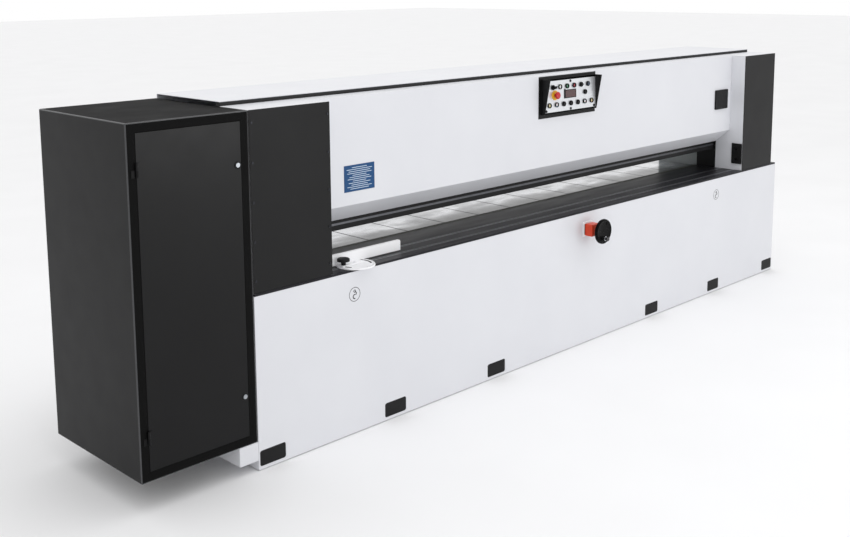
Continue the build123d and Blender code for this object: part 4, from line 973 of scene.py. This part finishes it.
# ---------------------------------------------------------------- printed plates and symbols
def arc_strip(name, centre, inner, outer, start, sweep):
    """A flat printed arc in the XY plane: a radial edge spun round, given a thickness, turned and moved."""
    width = outer - inner
    deselect()
    bpy.ops.mesh.primitive_plane_add(size=width, location=((inner + outer) / 2, width / 2, 0))
    strip = bpy.context.object
    strip.name = name
    apply_place(strip)
    edit(strip)
    bpy.ops.mesh.select_all(action="DESELECT")
    leave_edit()
    for vertex in strip.data.vertices:
        vertex.select = vertex.co.y > width / 2
    bpy.ops.object.mode_set(mode="EDIT")
    bpy.ops.mesh.delete(type="VERT")
    bpy.ops.mesh.select_all(action="SELECT")
    steps = max(8, int(abs(sweep) / 7))
    bpy.ops.mesh.spin(steps=steps, angle=radians(sweep), center=(0, 0, 0), axis=(0, 0, 1))
    bpy.ops.mesh.select_all(action="SELECT")
    bpy.ops.mesh.remove_doubles(threshold=0.00001)
    bpy.ops.mesh.normals_make_consistent(inside=False)
    leave_edit()
    apply_modifier(strip, "SOLIDIFY", thickness=0.3 * MM, offset=0)
    strip.rotation_euler.z = radians(start)
    strip.location = centre
    apply_place(strip)
    return paint(strip, BLACK_INK)


def model_lifting_symbol():
    """A thin ring round an S-shaped hook, printed where the machine is slung."""
    return joined("lifting_symbol", [
        arc_strip("ring", (0, 0, 0), 35 * MM, 38 * MM, 0, 360),
        arc_strip("eye", (0, 17 * MM, 0), 4 * MM, 8 * MM, 0, 360),
        arc_strip("upper_bend", (3 * MM, 4 * MM, 0), 6 * MM, 11 * MM, 100, 150),
        arc_strip("lower_bend", (0, -12 * MM, 0), 8 * MM, 13.5 * MM, 60, -230),
    ])


def add_lifting_symbols():
    """One symbol near each end of the front apron, 750 mm up."""
    symbol = model_lifting_symbol()
    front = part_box("front_apron")[0].y - 0.1 * MM
    for name, across in (("left_lifting_symbol", -1.612), ("right_lifting_symbol", 1.969)):
        own = twin(symbol, name)
        stand(own, (across, front, 0.75), -Y_AXIS)
        settle(own, "front_apron")
    bpy.data.objects.remove(symbol)


def finish_instruction_plate():
    """Blue lacquered plate with broken edges, and plain printed bars where text would be."""
    softened("instruction_plate", 0.5)
    place = middle("instruction_plate")
    place.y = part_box("instruction_plate")[0].y
    bars = []
    for row, length in enumerate((104, 176, 150, 168, 96, 138, 164, 92, 150, 112, 170, 128)):
        height = 56 - row * 10.2
        bar = block("bar", (-length / 2 * MM, (height - 1.4) * MM, 0),
                    (length / 2 * MM, (height + 1.4) * MM, 0.2 * MM), WHITE_INK)
        bars.append(bar)
    printed = joined("plate_bars", bars)
    stand(printed, place, -Y_AXIS)
    settle(printed, "instruction_plate")


finish_frame()
finish_covers()
finish_tables()
finish_pressure_beam()
model_cabinet()
fill_cabinet_gap_shade()
model_door()
model_console()
model_display_frame()
model_push_buttons()
model_rotary("key_switch", -45, 1.8 * MM, 24 * MM)
model_rotary("selector_switch", -90)
model_emergency_stop()
add_face_screws()
finish_station()
model_handwheel()
model_grip()
model_indicator()
finish_fence()
add_lifting_symbols()
finish_instruction_plate()


# ---------------------------------------------------------------- camera, light and floor
def add_camera():
    """Above eye level, off the left end, looking along the machine."""
    data = bpy.data.cameras.new("camera")
    data.sensor_width = 36
    data.lens = 45.89
    data.shift_y = -0.15
    data.clip_end = 200
    camera = bpy.data.objects.new("camera", data)
    bpy.context.scene.collection.objects.link(camera)
    yaw, pitch, roll = 0.7846, 0.1479, -0.0067
    lean = Matrix.Rotation(pi / 2 - pitch, 4, "X") @ Matrix.Rotation(roll, 4, "Z")
    camera.matrix_world = Matrix.Translation((-5.166, -4.622, 2.349)) @ Matrix.Rotation(-yaw, 4, "Z") @ lean
    bpy.context.scene.camera = camera


def add_softbox(name, place, aim, size, power):
    """A rectangular area light at a place, turned to its aim."""
    data = bpy.data.lights.new(name, "AREA")
    data.shape = "RECTANGLE"
    data.size, data.size_y = size
    data.energy = power
    lamp = bpy.data.objects.new(name, data)
    bpy.context.scene.collection.objects.link(lamp)
    lamp.location = place
    lamp.rotation_euler = (Vector(aim) - Vector(place)).to_track_quat("-Z", "Y").to_euler()


def add_studio():
    """A pale floor, a white room and two softboxes."""
    world = bpy.data.worlds.new("studio")
    bpy.context.scene.world = world
    world.use_nodes = True
    background = world.node_tree.nodes["Background"]
    background.inputs["Color"].default_value = linear("#ffffff")
    background.inputs["Strength"].default_value = 1.0
    add_softbox("overhead_softbox", (0, -1.5, 5.5), (0, -0.3, 0.8), (8, 4), 60)
    add_softbox("front_softbox", (1.9, -7.5, 1.3), (-1.5, -0.5, 1.2), (2.4, 1.4), 60)
    deselect()
    bpy.ops.mesh.primitive_plane_add(size=120, location=(0, 0, 0))
    floor = bpy.context.object
    floor.name = "floor"
    material, tree, shader, place = new_material("pale_floor", "#f4f4f5", 0.7)
    vary_colour(tree, shader, noise(tree, place, 900), "#f0f0f1", "#f6f6f7")
    paint(floor, material)


add_camera()
add_studio()
bpy.context.scene.view_settings.view_transform = "Standard"
